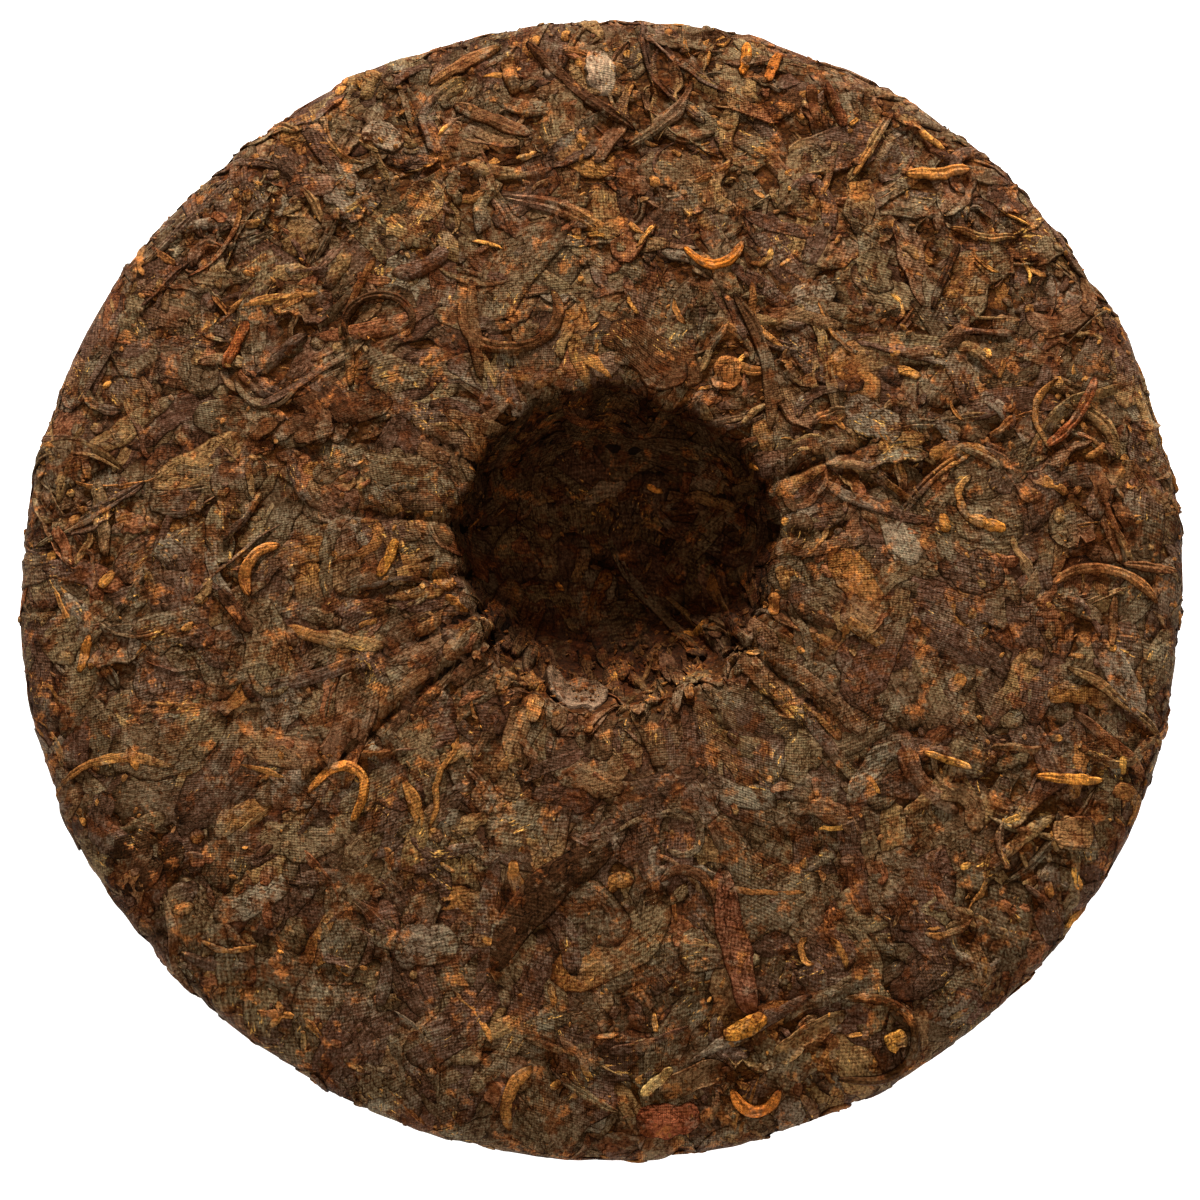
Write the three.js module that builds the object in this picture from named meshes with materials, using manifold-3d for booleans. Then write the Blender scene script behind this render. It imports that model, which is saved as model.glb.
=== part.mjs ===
// A cake of pressed pu erh tea, lying on its domed face with the hollow of its back upwards.
// The cake is one solid: a disc of packed leaf whose back rises gently to the lip of the
// hollow, creased where the cloth of the press was gathered, with the larger leaves, rolled
// strips and stalks of the surface fused on. Millimetres, +Z up, the origin on the table
// under the middle of the cake, and +Y towards the steepest wall of the hollow.
import * as THREE from "three";
import { mergeVertices } from "three/addons/utils/BufferGeometryUtils.js";
import Module from "manifold-3d";

const { smoothstep, lerp, clamp, degToRad } = THREE.MathUtils;

// Driving dimensions of the section, from the hollow out to the edge and back underneath
const CAKE_RADIUS = 100;
const EQUATOR_HEIGHT = 11;
const HOLLOW_FLOOR = 7;
const FLOOR_RADIUS = 15;
const LIP_RADIUS = 28;
const LIP_HEIGHT = 24.5;
const SHOULDER_RADIUS = 92.5;
const SHOULDER_HEIGHT = 17.2;
const HEEL_RADIUS = 89;
const HEEL_HEIGHT = 3.1;
const REST_RADIUS = 44;

// The hollow isn't in the middle, and its floor is further off than its lip, so that its wall is
// steep towards +Y and a slope towards -Y
const EDGE_CENTRE = [0.04, 0.14];
const LIP_CENTRE = [2, 4.3];
const FLOOR_CENTRE = [-1.2, 9.5];
const LEVEL_FLOOR_RADIUS = 12;

// Above the slope the lip is worn down
const WORN_DEPTH = 1.5;
const WORN_RADIUS = 27;
const WORN_HALF_WIDTH = 4.5;

// The dent that the knot of the cloth left in the hollow's floor
const KNOT_DEPTH = 2.4;
const KNOT_RADIUS = 3.6;

// Waves of the outline and of the lip: [waves round the cake, share of the radius, phase in degrees]
const OUTLINE_WAVES = [
  [2, 0.0037, 50], [3, 0.0033, 200], [5, 0.0012, 212], [6, 0.0014, 144], [10, 0.001, 94],
];
const LIP_WAVES = [[3, 0.018, 40], [5, 0.02, 150], [8, 0.016, 10], [13, 0.014, 75]];

// Creases that the gathered cloth left, with the pleats that swell beside them:
// [direction in degrees, from radius, to radius, depth]
const CREASES = [
  [217.5, 24, 92, 1.7], [206.25, 24, 50, 1.2], [191.25, 24, 56, 1.2], [172.5, 24, 60, 1.3],
  [150, 24, 48, 1.2], [120, 24, 38, 0.8], [97.5, 24, 36, 0.7], [63.75, 24, 38, 0.8],
  [22.5, 23, 58, 1.7], [2.5, 24, 40, 0.9], [337.5, 26, 60, 1.2], [321, 23, 62, 1.5],
  [300, 25, 66, 1.0], [285, 24, 44, 0.9], [262.5, 24, 42, 0.9], [240, 24, 54, 1.1],
];
const CREASE_HALF_WIDTH = 1.5;
const PLEAT_OFFSET = 3.2;
const PLEAT_HALF_WIDTH = 1.8;
const PLEAT_SWELL = 0.35;

// Slow unevenness of the pressed surface
const LUMP_WAVES = 18;
const LONGEST_LUMP = 46;
const SHORTEST_LUMP = 13;
const LUMP_HEIGHT = 0.12;
const LUMP_SHIFT = 1.7;
const GOLDEN_ANGLE = Math.PI * (3 - Math.sqrt(5));

// A leaf narrows and thins towards its ends to these shares, its edges are thin, and it is sunk in
// the body; one whose end rises is thick below instead
const LEAF_ROOT = 1.5;
const LEAF_TAPER = 1.75;
const END_WIDTH = 0.25;
const END_THICKNESS = 0.3;
const EDGE_THICKNESS = 0.3;
const RISING_UNDERSIDE = 0.6;
const RISE_FROM = -0.3;

// Further large leaves in bands of the skin; every third is a broad blade, the others are strips
const BACK_LEAVES = 24;
const EDGE_LEAVES = 10;
const FACE_LEAVES = 10;
const BLADE = { every: 3, length: 15, width: 5, extraWidth: 3, thickness: 0.5, bend: 60 };
const STRIP = { length: 13, width: 2.2, extraWidth: 1.2, thickness: 0.75, bend: 150 };
const SHORTEST_SHARE = 0.75;
const LONGEST_SHARE = 1.45;

// Mesh of the body, and of a leaf
const SECTORS = 70;
const LEAF_SIDES = 5;
const LEAF_STEP = 4.8;
const WALK_STEP = 0.8;
const FINE_PER_CURVE = 40;
const POLE_RADIUS = 2;
const SEED = 357;

// The section as Bezier curves, each with the number of rings that it is cut into
const SECTION = [
  [[0, HOLLOW_FLOOR], [6, HOLLOW_FLOOR], [10, HOLLOW_FLOOR + 0.2], [FLOOR_RADIUS, HOLLOW_FLOOR + 1.6], 3],
  [[FLOOR_RADIUS, HOLLOW_FLOOR + 1.6], [20, 10.4], [24.4, 15], [26.6, 21.8], 4],
  [[26.6, 21.8], [27.1, 23.5], [LIP_RADIUS + 0.6, LIP_HEIGHT + 0.1], [32, LIP_HEIGHT], 3],
  [[32, LIP_HEIGHT], [52, 24.1], [76, 20.4], [SHOULDER_RADIUS, SHOULDER_HEIGHT], 10],
  [[SHOULDER_RADIUS, SHOULDER_HEIGHT], [97, 16.3], [CAKE_RADIUS, 14.6], [CAKE_RADIUS, EQUATOR_HEIGHT], 3],
  [[CAKE_RADIUS, EQUATOR_HEIGHT], [CAKE_RADIUS, 7.4], [95.6, 4.6], [HEEL_RADIUS, HEEL_HEIGHT], 3],
  [[HEEL_RADIUS, HEEL_HEIGHT], [76, 0.6], [58, 0], [REST_RADIUS, 0], 3],
  [[REST_RADIUS, 0], [30, 0], [15, 0], [0, 0], 1],
];

// The section as a table by arc length, so that a leaf can be laid by its distance along it
function measureSection() {
  const fine = SECTION.flatMap(([a, b, c, d], i) => {
    const curve = new THREE.CubicBezierCurve(...[a, b, c, d].map((p) => new THREE.Vector2(...p)));
    return curve.getPoints(FINE_PER_CURVE).slice(i ? 1 : 0);
  });
  const along = [0];
  for (let i = 1; i < fine.length; i++) along.push(along[i - 1] + fine[i].distanceTo(fine[i - 1]));
  const [lip, shoulder, equator, heel, rest] = [3, 4, 5, 6, 7].map((n) => along[n * FINE_PER_CURVE]);
  return { fine, along, lip, shoulder, equator, heel, rest };
}
const section = measureSection();

// Radius, height and direction of the section at the arc length s
function sectionAt(s) {
  const { fine, along } = section;
  let low = 0;
  let high = along.length - 1;
  while (high - low > 1) {
    const middle = (low + high) >> 1;
    if (along[middle] <= s) low = middle;
    else high = middle;
  }
  const share = clamp((s - along[low]) / (along[high] - along[low]), 0, 1);
  const p = fine[low].clone().lerp(fine[high], share);
  const way = fine[high].clone().sub(fine[low]).normalize();
  return { r: p.x, z: p.y, dr: way.x, dz: way.y };
}

const waves = (list, angle) =>
  list.reduce((sum, [n, share, phase]) => sum + share * Math.cos(n * angle - degToRad(phase)), 0);

// Centre of the ring of radius r on the back; all the rings of the face have the edge's centre
function ringCentre(s, r) {
  if (s > section.equator) return EDGE_CENTRE;
  const toLip = smoothstep(r, LEVEL_FLOOR_RADIUS, LIP_RADIUS);
  const toEdge = smoothstep(r, LIP_RADIUS, CAKE_RADIUS);
  return [0, 1].map((i) => lerp(lerp(FLOOR_CENTRE[i], LIP_CENTRE[i], toLip), EDGE_CENTRE[i], toEdge));
}

// Depth of the nearest creases at a radius and angle, less the swelling of the pleats beside them
function creaseDepth(r, angle) {
  let depth = 0;
  for (const [direction, from, to, deep] of CREASES) {
    const turn = angle - degToRad(direction);
    if (Math.cos(turn) < 0.3) continue;
    const aside = r * Math.sin(turn);
    const strength = smoothstep(r, from - 4, from + 2) * (1 - smoothstep(r, from + 0.35 * (to - from), to));
    const groove = Math.exp(-((aside / CREASE_HALF_WIDTH) ** 2));
    const swell = Math.exp(-(((Math.abs(aside) - PLEAT_OFFSET) / PLEAT_HALF_WIDTH) ** 2));
    depth += strength * deep * (groove - PLEAT_SWELL * swell);
  }
  return depth;
}

// Slow lumps: waves of falling length whose directions turn by the golden angle
function lumps(x, y) {
  let height = 0;
  for (let i = 0; i < LUMP_WAVES; i++) {
    const length = LONGEST_LUMP * (SHORTEST_LUMP / LONGEST_LUMP) ** (i / (LUMP_WAVES - 1));
    const along = x * Math.cos(i * GOLDEN_ANGLE) + y * Math.sin(i * GOLDEN_ANGLE);
    height += Math.sin((2 * Math.PI * along) / length + LUMP_SHIFT * i * i);
  }
  return LUMP_HEIGHT * height;
}

// Depth to which the lip is worn down, all of it towards -Y
function wornDepth(r, angle) {
  const aside = Math.exp(-(((r - WORN_RADIUS) / WORN_HALF_WIDTH) ** 2));
  return WORN_DEPTH * aside * smoothstep(-Math.sin(angle), 0.2, 1);
}

// The point of the cake's skin at arc length s and angle, raised by lift along the section's normal.
// The face is pressed flat where it meets the table.
function skin(s, angle, lift = 0) {
  const { r, z, dr, dz } = sectionAt(s);
  const [cx, cy] = ringCentre(s, r);
  const onBack = s <= section.equator;
  const outline = waves(OUTLINE_WAVES, angle) * smoothstep(r, 0.4 * CAKE_RADIUS, 0.9 * CAKE_RADIUS);
  const lip = onBack ? waves(LIP_WAVES, angle) * smoothstep(r, 8, 22) * (1 - smoothstep(r, 32, 48)) : 0;
  const wide = r * (1 + outline + lip);
  const x = cx + wide * Math.cos(angle);
  const y = cy + wide * Math.sin(angle);
  const uneven = lumps(x, y) * (onBack ? 1 : smoothstep(r, REST_RADIUS, HEEL_RADIUS));
  const knot = onBack ? KNOT_DEPTH * Math.exp(-((r / KNOT_RADIUS) ** 2)) : 0;
  const sunk = onBack ? creaseDepth(r, angle) + wornDepth(r, angle) : 0;
  const up = lift + uneven - sunk - knot;
  const flattened = Math.max(0, z + dr * up);
  return new THREE.Vector3(x - dz * up * Math.cos(angle), y - dz * up * Math.sin(angle), flattened);
}

// A lathed section whose every vertex is then carried to the cake's uneven skin
function makeBody() {
  const stations = [0];
  for (const [i, curve] of SECTION.entries()) {
    const [from, to] = [0, 1].map((k) => section.along[(i + k) * FINE_PER_CURVE]);
    for (let k = 1; k <= curve[4]; k++) stations.push(from + ((to - from) * k) / curve[4]);
  }
  const profile = stations.map((s) => new THREE.Vector2(sectionAt(s).r, sectionAt(s).z)).reverse();
  const geometry = new THREE.LatheGeometry(profile, SECTORS);
  const position = geometry.getAttribute("position");
  const last = stations.length - 1;
  for (let i = 0; i < position.count; i++) {
    const ring = last - (i % stations.length);
    const sector = Math.floor(i / stations.length) % SECTORS;
    const pole = ring === 0 || ring === last;
    const p = skin(stations[ring], pole ? 0 : (sector / SECTORS) * 2 * Math.PI);
    position.setXYZ(i, p.x, p.y, p.z);
  }
  return geometry;
}

// From a point of the skin, the point reached by going a distance along a curved line on it.
// The heading is counted from the way in which s grows; pinch gathers the bend in the middle.
function walk(start, leaf, distance) {
  const steps = Math.max(1, Math.ceil(Math.abs(distance) / WALK_STEP));
  const step = distance / steps;
  let { s, angle, heading } = start;
  for (let i = 0; i < steps; i++) {
    const { r, dr } = sectionAt(s);
    const gone = step * (i + 0.5);
    const gathered = 1 + leaf.pinch * Math.cos((2 * Math.PI * gone) / leaf.length);
    const curl = (degToRad(leaf.bend) / leaf.length) * gathered;
    const turn = (Math.sin(heading) * step) / Math.max(r, POLE_RADIUS);
    s += Math.cos(heading) * step;
    angle += turn;
    heading += curl * step - dr * turn;
  }
  return { s, angle, heading };
}

// Arc length and angle of the back's skin over the point x, y of the plan
function overPlan(x, y) {
  let s = section.shoulder;
  let angle = 0;
  for (let i = 0; i < 12; i++) {
    const [cx, cy] = ringCentre(s, sectionAt(s).r);
    angle = Math.atan2(y - cy, x - cx);
    s += Math.hypot(x - cx, y - cy) - sectionAt(s).r * (1 + waves(OUTLINE_WAVES, angle));
    s = clamp(s, 1, section.equator);
  }
  return { s, angle };
}

// A leaf, strip or stalk: a flattened cylinder wrapped along its line on the skin, half sunk in it.
// rise lifts its far end clear of the cake.
function makeLeaf(leaf) {
  const pieces = Math.max(2, Math.round(leaf.length / LEAF_STEP));
  const geometry = new THREE.CylinderGeometry(1, 1, 1, LEAF_SIDES, pieces);
  const position = geometry.getAttribute("position");
  for (let i = 0; i < position.count; i++) {
    const t = position.getY(i);
    const taper = Math.sqrt(Math.max(0, 1 - (LEAF_TAPER * t) ** 2));
    const aside = 0.5 * leaf.width * lerp(END_WIDTH, 1, taper) * position.getX(i);
    const onEdge = Math.abs(position.getX(i)) > 0.9;
    const top = leaf.thickness * lerp(END_THICKNESS, 1, taper) * (onEdge ? EDGE_THICKNESS : 1);
    const bottom = leaf.rise ? -RISING_UNDERSIDE * leaf.thickness : -LEAF_ROOT;
    const lift = position.getZ(i) > 0 ? top : bottom;
    const on = walk(leaf.start, leaf, t * leaf.length);
    const { r } = sectionAt(on.s);
    const across = on.heading - Math.PI / 2;
    const s = on.s + Math.cos(across) * aside;
    const angle = on.angle + (Math.sin(across) * aside) / Math.max(r, POLE_RADIUS);
    const p = skin(s, angle, lift + leaf.rise * (t - RISE_FROM) ** 2);
    position.setXYZ(i, p.x, p.y, p.z);
  }
  return geometry;
}

// Leaves that stand out on the back: [x, y, heading on the plan, length, bend, width, thickness, pinch, rise]
const RINGS_AND_LOOPS = [
  [-15.7, 37.8, 0, 33, 250, 2.4, 0.9, 0, 0], [-38.6, 47.9, 0, 24, -260, 1.7, 0.8, 0, 0],
  [52.8, -80, -90, 34, -185, 1.9, 0.9, 1, 0], [-42.2, -34.5, -35, 19, -170, 1.9, 0.8, 1, 0],
  [86.3, 1, -5, 22, -110, 2, 0.8, 0, 0], [15.4, -52, -20, 13, -150, 1.8, 0.7, 0, 0],
  [19.9, 53.6, 10, 14, 110, 2, 0.8, 1, 0], [25.8, -92, 0, 12, 150, 2.2, 0.9, 0.5, 0],
];
const STRIPS_AND_STALKS = [
  [-22, 41.6, -86, 19, 8, 2.3, 0.9, 0, 0], [28.2, 36.4, -80, 27, -40, 2.7, 0.9, 1, 0],
  [-43.4, 36.4, -88, 10, 0, 1.8, 0.8, 0, 0], [-63.3, 40, -113, 9.5, 5, 2.3, 0.8, 0, 0],
  [-63, -7, -56, 9.5, 0, 2.2, 0.9, 0, 0], [-24.4, 91, 30, 14.5, -15, 2.7, 0.8, 0, 0],
  [-16.3, 89, -80, 9, 20, 2.8, 1.1, 0, 0], [-4.5, 86, -45, 26, 15, 2.5, 0.9, 0, 0],
  [-19.2, 80.3, -28, 15, -6, 3.2, 0.8, 0, 0], [24.9, 92, 80, 7, 10, 2, 0.8, 0, 0],
  [29.6, 90.4, 70, 7, -20, 2, 0.8, 0, 0], [58, 71, 8, 11.5, 12, 2.4, 0.9, 0, 0],
  [40.5, 83, 110, 8.5, 10, 2.4, 0.7, 0, 3], [36.6, 83.4, 100, 7, 0, 2.2, 0.7, 0, 2],
  [59, 52, -113, 14, 6, 1.7, 0.7, 0, 0], [81.5, 27.6, -125, 17, -35, 2, 0.8, 0.5, 0],
  [94, 1.6, -3, 10, 0, 1.8, 0.8, 0, 0], [87.4, -8.1, -95, 9, -10, 1.8, 0.8, 0, 0],
  [79.4, -35.5, 0, 12, 8, 1.8, 0.6, 0, 0], [9, -87.2, 40, 7, 0, 2, 0.7, 0, 0],
  [-60.7, 1.2, 60, 12, -120, 2.1, 0.8, 0.5, 0], [-36.8, 1.7, 60, 7.5, 10, 2, 0.7, 0, 0],
];
const BROAD_LEAVES = [
  [-10.5, -55.9, 45, 28, -60, 6.5, 0.55, 0, 0], [22, -63.8, -75, 24, 15, 5, 0.55, 0, 0],
  [8, 38, -30, 15, 60, 9, 0.6, 0, 0], [-0.5, 89, -80, 10, 0, 5, 0.6, 0, 0],
  [-38.2, 77.5, -35, 8, 0, 5, 0.6, 0, 0], [80, -44.5, 0, 7.5, 0, 5.5, 0.6, 0, 0],
  [11, -93.5, 0, 11, 0, 6, 0.5, 0, 0], [-50.3, 27.6, 15, 18, 0, 9, 1.7, 0, 0],
  [-80, -50, -60, 13, 0, 8, 1.6, 0, 0], [21.5, 34.6, 80, 6.5, 0, 5, 0.8, 0, 0],
  [24, -78, 25, 8, 0, 3.2, 0.8, 0, 0], [-6.2, -21.5, 160, 11, 50, 5, 0.8, 0, 3],
];

// The named leaves of the back as starts on the skin
function namedLeaves() {
  return [...BROAD_LEAVES, ...STRIPS_AND_STALKS, ...RINGS_AND_LOOPS].map(
    ([x, y, turned, length, bend, width, thickness, pinch, rise]) => {
      const { s, angle } = overPlan(x, y);
      const start = { s, angle, heading: degToRad(turned) - angle };
      return { start, length, bend, width, thickness, pinch, rise };
    },
  );
}

// Further large leaves, spread evenly by the golden angle over a band of the skin
function scatteredLeaves(count, from, to, random) {
  return Array.from({ length: count }, (_, i) => {
    const kind = i % BLADE.every ? STRIP : BLADE;
    const s = Math.sqrt(lerp(from * from, to * to, (i + 0.5) / count));
    return {
      start: { s, angle: i * GOLDEN_ANGLE, heading: 2 * Math.PI * random() },
      length: kind.length * lerp(SHORTEST_SHARE, LONGEST_SHARE, random()),
      bend: kind.bend * (random() - 0.5),
      width: kind.width + kind.extraWidth * random(),
      thickness: kind.thickness,
      pinch: random(),
      rise: 0,
    };
  });
}

// Random numbers from 0 to 1 that are the same each time
function seeded(seed) {
  let state = seed;
  return () => {
    state = (state * 1664525 + 1013904223) % 4294967296;
    return state / 4294967296;
  };
}

const wasm = await Module();
wasm.setup();

function solidOf(geometry) {
  geometry.deleteAttribute("normal");
  geometry.deleteAttribute("uv");
  const merged = mergeVertices(geometry, 1e-4);
  const solid = new wasm.Manifold(
    new wasm.Mesh({
      numProp: 3,
      vertProperties: merged.getAttribute("position").array,
      triVerts: new Uint32Array(merged.getIndex().array),
    }),
  );
  if (solid.volume() <= 0) throw new Error("a shape is inside out");
  return solid;
}

// The body with its leaves fused on; a hollow that fusing seals is filled, a loose scrap dropped
function makeCake() {
  const random = seeded(SEED);
  const leaves = [
    ...scatteredLeaves(BACK_LEAVES, section.lip + 6, section.equator - 12, random),
    ...scatteredLeaves(EDGE_LEAVES, section.equator - 6, section.equator + 6, random),
    ...scatteredLeaves(FACE_LEAVES, section.heel, section.rest - 8, random),
    ...namedLeaves(),
  ];
  let cake = solidOf(makeBody());
  for (const leaf of leaves) cake = cake.add(solidOf(makeLeaf(leaf)));
  cake = cake.decompose().sort((a, b) => b.volume() - a.volume())[0];
  const mesh = cake.getMesh();
  const geometry = new THREE.BufferGeometry();
  geometry.setAttribute("position", new THREE.BufferAttribute(mesh.vertProperties, 3));
  geometry.setIndex(new THREE.BufferAttribute(mesh.triVerts, 1));
  geometry.computeVertexNormals();
  return geometry;
}

const pressedTea = new THREE.MeshStandardMaterial({ color: 0x4a3524, roughness: 0.85, flatShading: true });

const cake = new THREE.Mesh(makeCake(), pressedTea);
cake.name = "tea_cake";

const group = new THREE.Group();
group.add(cake);
export default group;
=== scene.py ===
"""A cake of pressed ripe pu erh tea, lying on its face with the hollow of its back upwards.

Some six thousand leaves are laid on the cake's skin one by one, each on what lies there already, and the pile
is then pressed nearly flush, as the cloth and the stone of the press do. Below them is a dark core of packed
dust. Sizes are in millimetres until a mesh is made, and the section, the hollow, the creases and the leaves
that stand out repeat the values of the CAD part.
"""

import math

import bpy
import numpy as np
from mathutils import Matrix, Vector


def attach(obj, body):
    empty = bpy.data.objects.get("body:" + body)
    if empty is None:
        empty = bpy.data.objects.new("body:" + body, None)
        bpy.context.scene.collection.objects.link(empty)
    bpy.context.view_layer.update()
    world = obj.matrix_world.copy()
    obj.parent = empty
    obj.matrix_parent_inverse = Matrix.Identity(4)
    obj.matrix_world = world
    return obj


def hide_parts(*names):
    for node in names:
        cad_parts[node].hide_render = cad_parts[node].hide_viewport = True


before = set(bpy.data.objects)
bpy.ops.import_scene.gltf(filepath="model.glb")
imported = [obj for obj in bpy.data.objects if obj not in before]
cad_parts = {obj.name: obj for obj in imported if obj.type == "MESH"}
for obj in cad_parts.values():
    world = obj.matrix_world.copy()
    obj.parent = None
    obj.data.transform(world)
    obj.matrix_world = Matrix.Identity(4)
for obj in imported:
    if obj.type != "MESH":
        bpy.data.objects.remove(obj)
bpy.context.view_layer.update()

MM = 0.001
SEED = 357
rng = np.random.default_rng(SEED)
GOLDEN_ANGLE = math.pi * (3 - math.sqrt(5))

# The cake's section and skin, as in the CAD part.

CAKE_RADIUS, EQUATOR_HEIGHT = 100.0, 11.0
HOLLOW_FLOOR, FLOOR_RADIUS, LEVEL_FLOOR_RADIUS = 7.0, 15.0, 12.0
LIP_RADIUS, LIP_HEIGHT = 28.0, 24.5
SHOULDER_RADIUS, SHOULDER_HEIGHT = 92.5, 17.2
HEEL_RADIUS, HEEL_HEIGHT = 89.0, 3.1
REST_RADIUS = 44.0
EDGE_CENTRE, LIP_CENTRE, FLOOR_CENTRE = (0.04, 0.14), (2.0, 4.3), (-1.2, 9.5)
WORN_DEPTH, WORN_RADIUS, WORN_HALF_WIDTH = 1.5, 27.0, 4.5
KNOT_DEPTH, KNOT_RADIUS = 2.4, 3.6
UNEVEN_HEIGHT = 0.065
OUTLINE_WAVES = [(2, 0.0037, 50), (3, 0.0033, 200), (5, 0.0012, 212), (6, 0.0014, 144), (10, 0.001, 94)]
LIP_WAVES = [(3, 0.018, 40), (5, 0.02, 150), (8, 0.016, 10), (13, 0.014, 75)]

# Creases left by the gathered cloth: direction in degrees, from radius, to radius, depth
CREASES = [
    (217.5, 24, 92, 1.7), (206.25, 24, 50, 1.2), (191.25, 24, 56, 1.2), (172.5, 24, 60, 1.3),
    (150, 24, 48, 1.2), (120, 24, 38, 0.8), (97.5, 24, 36, 0.7), (63.75, 24, 38, 0.8),
    (22.5, 23, 58, 1.7), (2.5, 24, 40, 0.9), (337.5, 26, 60, 1.2), (321, 23, 62, 1.5),
    (300, 25, 66, 1.0), (285, 24, 44, 0.9), (262.5, 24, 42, 0.9), (240, 24, 54, 1.1),
]
# The grooves are narrower and shallower here than the faces of the CAD part can hold, and painted shade
# darkens them
CREASE_SHARE = 0.5
CREASE_PAINTED_SHADE = 0.5
CREASE_HALF_WIDTH, PLEAT_OFFSET, PLEAT_HALF_WIDTH, PLEAT_SWELL = 0.8, 2.6, 1.8, 0.16

SECTION = [
    [(0, HOLLOW_FLOOR), (6, HOLLOW_FLOOR), (10, HOLLOW_FLOOR + 0.2), (FLOOR_RADIUS, HOLLOW_FLOOR + 1.6)],
    [(FLOOR_RADIUS, HOLLOW_FLOOR + 1.6), (20, 10.4), (24.4, 15), (26.9, 22.3)],
    [(26.9, 22.3), (27.2, 23.9), (LIP_RADIUS, LIP_HEIGHT), (32, LIP_HEIGHT)],
    [(32, LIP_HEIGHT), (52, 24.1), (76, 20.4), (SHOULDER_RADIUS, SHOULDER_HEIGHT)],
    [(SHOULDER_RADIUS, SHOULDER_HEIGHT), (97, 16.3), (CAKE_RADIUS, 14.6), (CAKE_RADIUS, EQUATOR_HEIGHT)],
    [(CAKE_RADIUS, EQUATOR_HEIGHT), (CAKE_RADIUS, 7.4), (95.6, 4.6), (HEEL_RADIUS, HEEL_HEIGHT)],
    [(HEEL_RADIUS, HEEL_HEIGHT), (76, 0.6), (58, 0), (REST_RADIUS, 0)],
    [(REST_RADIUS, 0), (30, 0), (15, 0), (0, 0)],
]
FINE_PER_CURVE = 40


def bezier(points, t):
    a, b, c, d = (np.array(p, float) for p in points)
    t = t[:, None]
    return a * (1 - t) ** 3 + 3 * b * t * (1 - t) ** 2 + 3 * c * t * t * (1 - t) + d * t**3


steps = np.linspace(0, 1, FINE_PER_CURVE + 1)
fine = np.vstack([bezier(points, steps)[0 if i == 0 else 1 :] for i, points in enumerate(SECTION)])
chords = np.linalg.norm(np.diff(fine, axis=0), axis=1)
arc = np.concatenate([[0], np.cumsum(chords)])
SHOULDER, EQUATOR, UNDER_POLE = (arc[n * FINE_PER_CURVE] for n in (4, 5, 8))


def smoothstep(x, low, high):
    t = np.clip((x - low) / (high - low), 0, 1)
    return t * t * (3 - 2 * t)


def section_at(s):
    """Radius, height and direction of the section at the arc length s from the middle of the hollow."""
    i = np.clip(np.searchsorted(arc, s, side="right") - 1, 0, len(chords) - 1)
    share = np.clip((s - arc[i]) / chords[i], 0, 1)[..., None]
    point = fine[i] + share * (fine[i + 1] - fine[i])
    way = (fine[i + 1] - fine[i]) / chords[i][..., None]
    return point[..., 0], point[..., 1], way[..., 0], way[..., 1]


def waves(table, angle):
    return sum(share * np.cos(n * angle - math.radians(phase)) for n, share, phase in table)


def ring_centre(s, r):
    to_lip, to_edge = smoothstep(r, LEVEL_FLOOR_RADIUS, LIP_RADIUS), smoothstep(r, LIP_RADIUS, CAKE_RADIUS)
    on_back = s <= EQUATOR
    centre = []
    for floor, lip, edge in zip(FLOOR_CENTRE, LIP_CENTRE, EDGE_CENTRE):
        on_ring = floor + (lip - floor) * to_lip
        centre.append(np.where(on_back, on_ring + (edge - on_ring) * to_edge, edge))
    return centre


def crease_depth(r, angle):
    depth = np.zeros_like(r)
    for direction, start, end, deep in CREASES:
        turn = angle - math.radians(direction)
        aside = r * np.sin(turn)
        fading = smoothstep(r, start + 0.35 * (end - start), end)
        strength = smoothstep(r, start - 4, start + 2) * (1 - fading)
        groove = np.exp(-((aside / CREASE_HALF_WIDTH) ** 2))
        swell = np.exp(-(((np.abs(aside) - PLEAT_OFFSET) / PLEAT_HALF_WIDTH) ** 2))
        on_this_side = np.cos(turn) >= 0.3
        depth += np.where(on_this_side, strength * CREASE_SHARE * deep * (groove - PLEAT_SWELL * swell), 0)
    return depth


def wave_field(x, y, longest, shortest, count, shift):
    """A slow uneven field: waves of falling length whose directions turn by the golden angle."""
    height = np.zeros_like(x)
    for i in range(count):
        length = longest * (shortest / longest) ** (i / (count - 1))
        along = x * math.cos(i * GOLDEN_ANGLE) + y * math.sin(i * GOLDEN_ANGLE)
        height += np.sin(2 * math.pi * along / length + shift * i * i)
    return height


def skin(s, angle, lift):
    """The point of the cake's skin at arc length s and angle, raised by lift along the section's normal."""
    r, z, dr, dz = section_at(s)
    cx, cy = ring_centre(s, r)
    on_back = s <= EQUATOR
    outline = waves(OUTLINE_WAVES, angle) * smoothstep(r, 0.4 * CAKE_RADIUS, 0.9 * CAKE_RADIUS)
    lip = waves(LIP_WAVES, angle) * smoothstep(r, 8, 22) * (1 - smoothstep(r, 32, 48)) * on_back
    wide = r * (1 + outline + lip)
    x, y = cx + wide * np.cos(angle), cy + wide * np.sin(angle)
    beside_the_rest = np.where(on_back, 1, smoothstep(r, REST_RADIUS, HEEL_RADIUS))
    uneven = UNEVEN_HEIGHT * wave_field(x, y, 46, 13, 18, 1.7) * beside_the_rest
    knot = KNOT_DEPTH * np.exp(-((r / KNOT_RADIUS) ** 2)) * on_back
    beside_the_worn = ((r - WORN_RADIUS) / WORN_HALF_WIDTH) ** 2
    worn = WORN_DEPTH * np.exp(-beside_the_worn) * smoothstep(-np.sin(angle), 0.2, 1)
    up = lift + uneven - (crease_depth(r, angle) + worn) * on_back - knot
    x, y, z = x - dz * up * np.cos(angle), y - dz * up * np.sin(angle), z + dr * up
    return np.stack([x, y, np.maximum(z, 0)], -1)


# Two flat charts of the skin, and the pile on each.

# Each chart goes on past the equator, so that the leaves of the two sides overlap there
OVERLAP = 9
CHART_REACH = EQUATOR + OVERLAP
CELL = 0.35
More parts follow.
